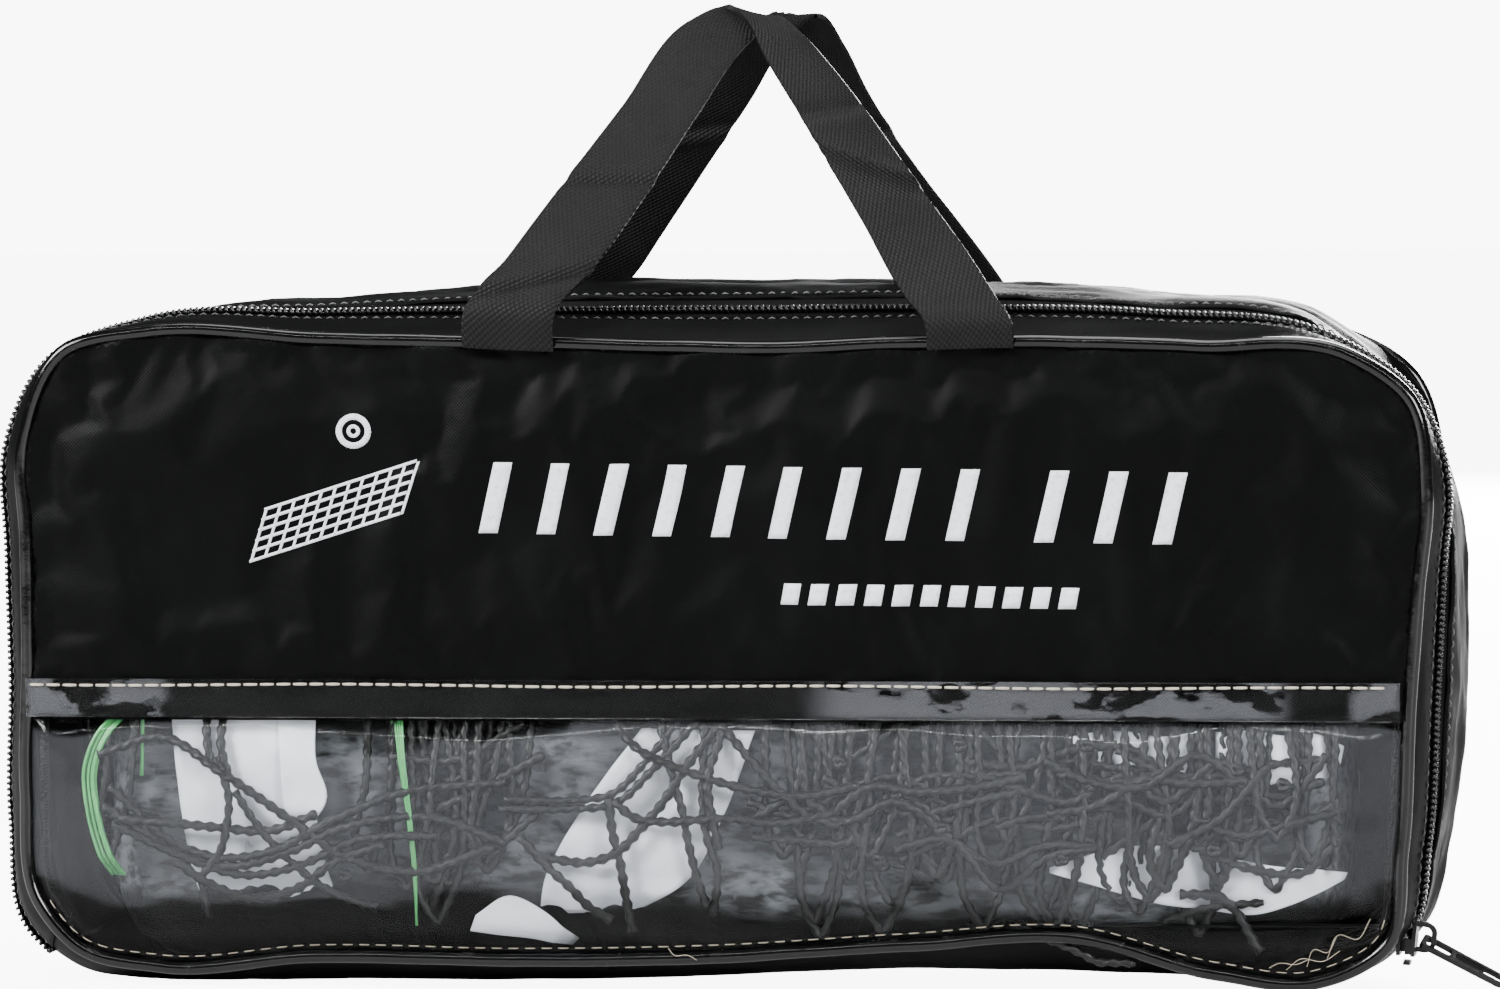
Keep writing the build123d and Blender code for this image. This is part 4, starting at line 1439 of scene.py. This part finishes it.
def tie(points, share, step_out, radius, tuck=0.0):
    """One turn of green twine behind the window, along (x, z) points."""
    flat = route(points, 1.0)
    y = cord_depth(flat, share) - step_out + tuck * ease((40 - flat[:, 1]) / 9)
    return tube(np.stack([flat[:, 0], y, flat[:, 1]], 1), radius, 6)


def net_ties():
    """Green twine round the bundle: a slack hank at the left end and a thin tie further in."""
    parts = []
    for k in range(9):
        x = -186.3 + 1.0 * (k % 4) + rng.uniform(-0.6, 0.6)
        bow = rng.uniform(2.5, 5.5)
        points = [(x + 7, 81), (x + 2.5, 76), (x - bow * 0.4, 65), (x - bow * 0.2, 53)]
        parts.append(tie(points + [(x + 3, 39), (x + 5.5, 33)], 0.55, 0.25 * k, 0.55, 7))
    for k in range(4):
        points = [(-95 + k * 0.8, 84), (-93 + k * 0.6, 70), (-90 + 0.4 * k, 52), (-88.4 + 0.3 * k, 36)]
        parts.append(tie(points + [(-88, 19)], 0.8, 0.2 * k, 0.34))
    turn = np.linspace(1.47 * pi, 2.97 * pi, 90)
    across, up = squared(turn)
    centre, half, floor = (net_low + net_high) / 2, (net_high - net_low) / 2 + 0.6, 7.4
    for place in (-172.0, -96.0):
        x = place + 0.8 * np.sin(turn * 3)
        loop = np.stack([x, centre[1] + half[1] * across, np.maximum(centre[2] + half[2] * up, floor)], 1)
        parts.append(tube(loop, 0.6, 6))
    points, faces = gather(parts)
    ties = make("green_ties", points, faces, GREEN)
    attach(ties, "bag")
    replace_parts(ties, "net_ties")


# ---- Hardware, studio and camera ----------------------------------------------------------------


def hardware():
    """CAD pieces that show as they are: the slider, its bail, the pull and the zip's stops."""
    for name in ("slider_body", "slider_bail", "pull_tab", "zip_stops"):
        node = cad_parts[name]
        node.data.materials.clear()
        node.data.materials.append(METAL)


# Area lamps: name, place and size in metres, and power in watts
LAMPS = [
    ("key", (-1.5, -1.3, 1.2), 0.8, 0.8, 110),
    ("fill", (1.6, -1.4, 0.9), 0.8, 0.8, 70),
    ("top", (0.1, 0.1, 1.7), 1.2, 1.2, 32),
    ("rear", (0.3, 2.4, 0.6), 0.9, 0.9, 110),
    ("strip", (0.0, -1.7, 1.5), 2.4, 0.03, 16),
]


def studio():
    """Pale floor, white surroundings and broad soft lights."""
    far = 6.0
    mesh = bpy.data.meshes.new("floor")
    corners = [(-far, -far, 0), (far, -far, 0), (far, far, 0), (-far, far, 0)]
    mesh.from_pydata(corners, [], [(0, 1, 2, 3)])
    mesh.materials.append(studio_floor())
    floor = bpy.data.objects.new("floor", mesh)
    bpy.context.scene.collection.objects.link(floor)
    world = bpy.data.worlds.new("studio")
    world.use_nodes = True
    nodes, links = world.node_tree.nodes, world.node_tree.links
    dim, backdrop = nodes["Background"], nodes.new("ShaderNodeBackground")
    dim.inputs["Color"].default_value = (0.95, 0.97, 1.0, 1)
    dim.inputs["Strength"].default_value = 0.12
    backdrop.inputs["Color"].default_value = (1.0, 1.0, 1.0, 1)
    backdrop.inputs["Strength"].default_value = 9.0
    seen, either = nodes.new("ShaderNodeLightPath"), nodes.new("ShaderNodeMixShader")
    links.new(seen.outputs["Is Camera Ray"], either.inputs[0])
    links.new(dim.outputs[0], either.inputs[1])
    links.new(backdrop.outputs[0], either.inputs[2])
    links.new(either.outputs[0], nodes["World Output"].inputs["Surface"])
    bpy.context.scene.world = world
    for name, place, wide, high, power in LAMPS:
        lamp = bpy.data.lights.new(name, "AREA")
        lamp.shape, lamp.size, lamp.size_y, lamp.energy = "RECTANGLE", wide, high, power
        light = bpy.data.objects.new(name, lamp)
        light.location = place
        light.rotation_euler = (Vector((0, 0, 0.1)) - Vector(place)).to_track_quat("-Z", "Y").to_euler()
        bpy.context.scene.collection.objects.link(light)


def camera():
    """A long lens in front of the bag, a little to its right and above."""
    low, high = cad_bounds
    aim = Vector(((low.x + high.x) / 2 + 0.0052, -0.040, high.z / 2 + 0.0013))
    azimuth, elevation, roll, distance = radians(9.5), radians(3.5), radians(-0.5), 2.8
    back = Vector((sin(azimuth) * cos(elevation), -cos(azimuth) * cos(elevation), sin(elevation)))
    lens = bpy.data.cameras.new("camera")
    lens.lens, lens.sensor_width = 228.7, 36.0
    made = bpy.data.objects.new("camera", lens)
    made.location = aim + back * distance
    level = (-back).to_track_quat("-Z", "Y")
    made.rotation_euler = (level @ Quaternion((0, 0, 1), roll)).to_euler()
    bpy.context.scene.collection.objects.link(made)
    bpy.context.scene.camera = made


camera()
studio()
panel = front_panel()
back_panel()
window_film()
hem = window_hem()
window_stitching(hem)
printed_marks(panel)
walls()
zip_coils()
piping("front_piping_tube", FRONT_SEAM, front_depth, "front_piping", "flap")
piping("back_piping_tube", BACK_SEAM, back_depth, "back_piping", "bag")
seam_binding("front_seam_ribbon", FRONT_SEAM, front_depth, 1, "front_binding", "flap", ribbon_low)
seam_binding("back_seam_ribbon", BACK_SEAM, back_depth, -1, "back_binding", "bag")
handles()
net_bundle()
net_tapes()
net_cords()
knots()
net_ties()
hardware()
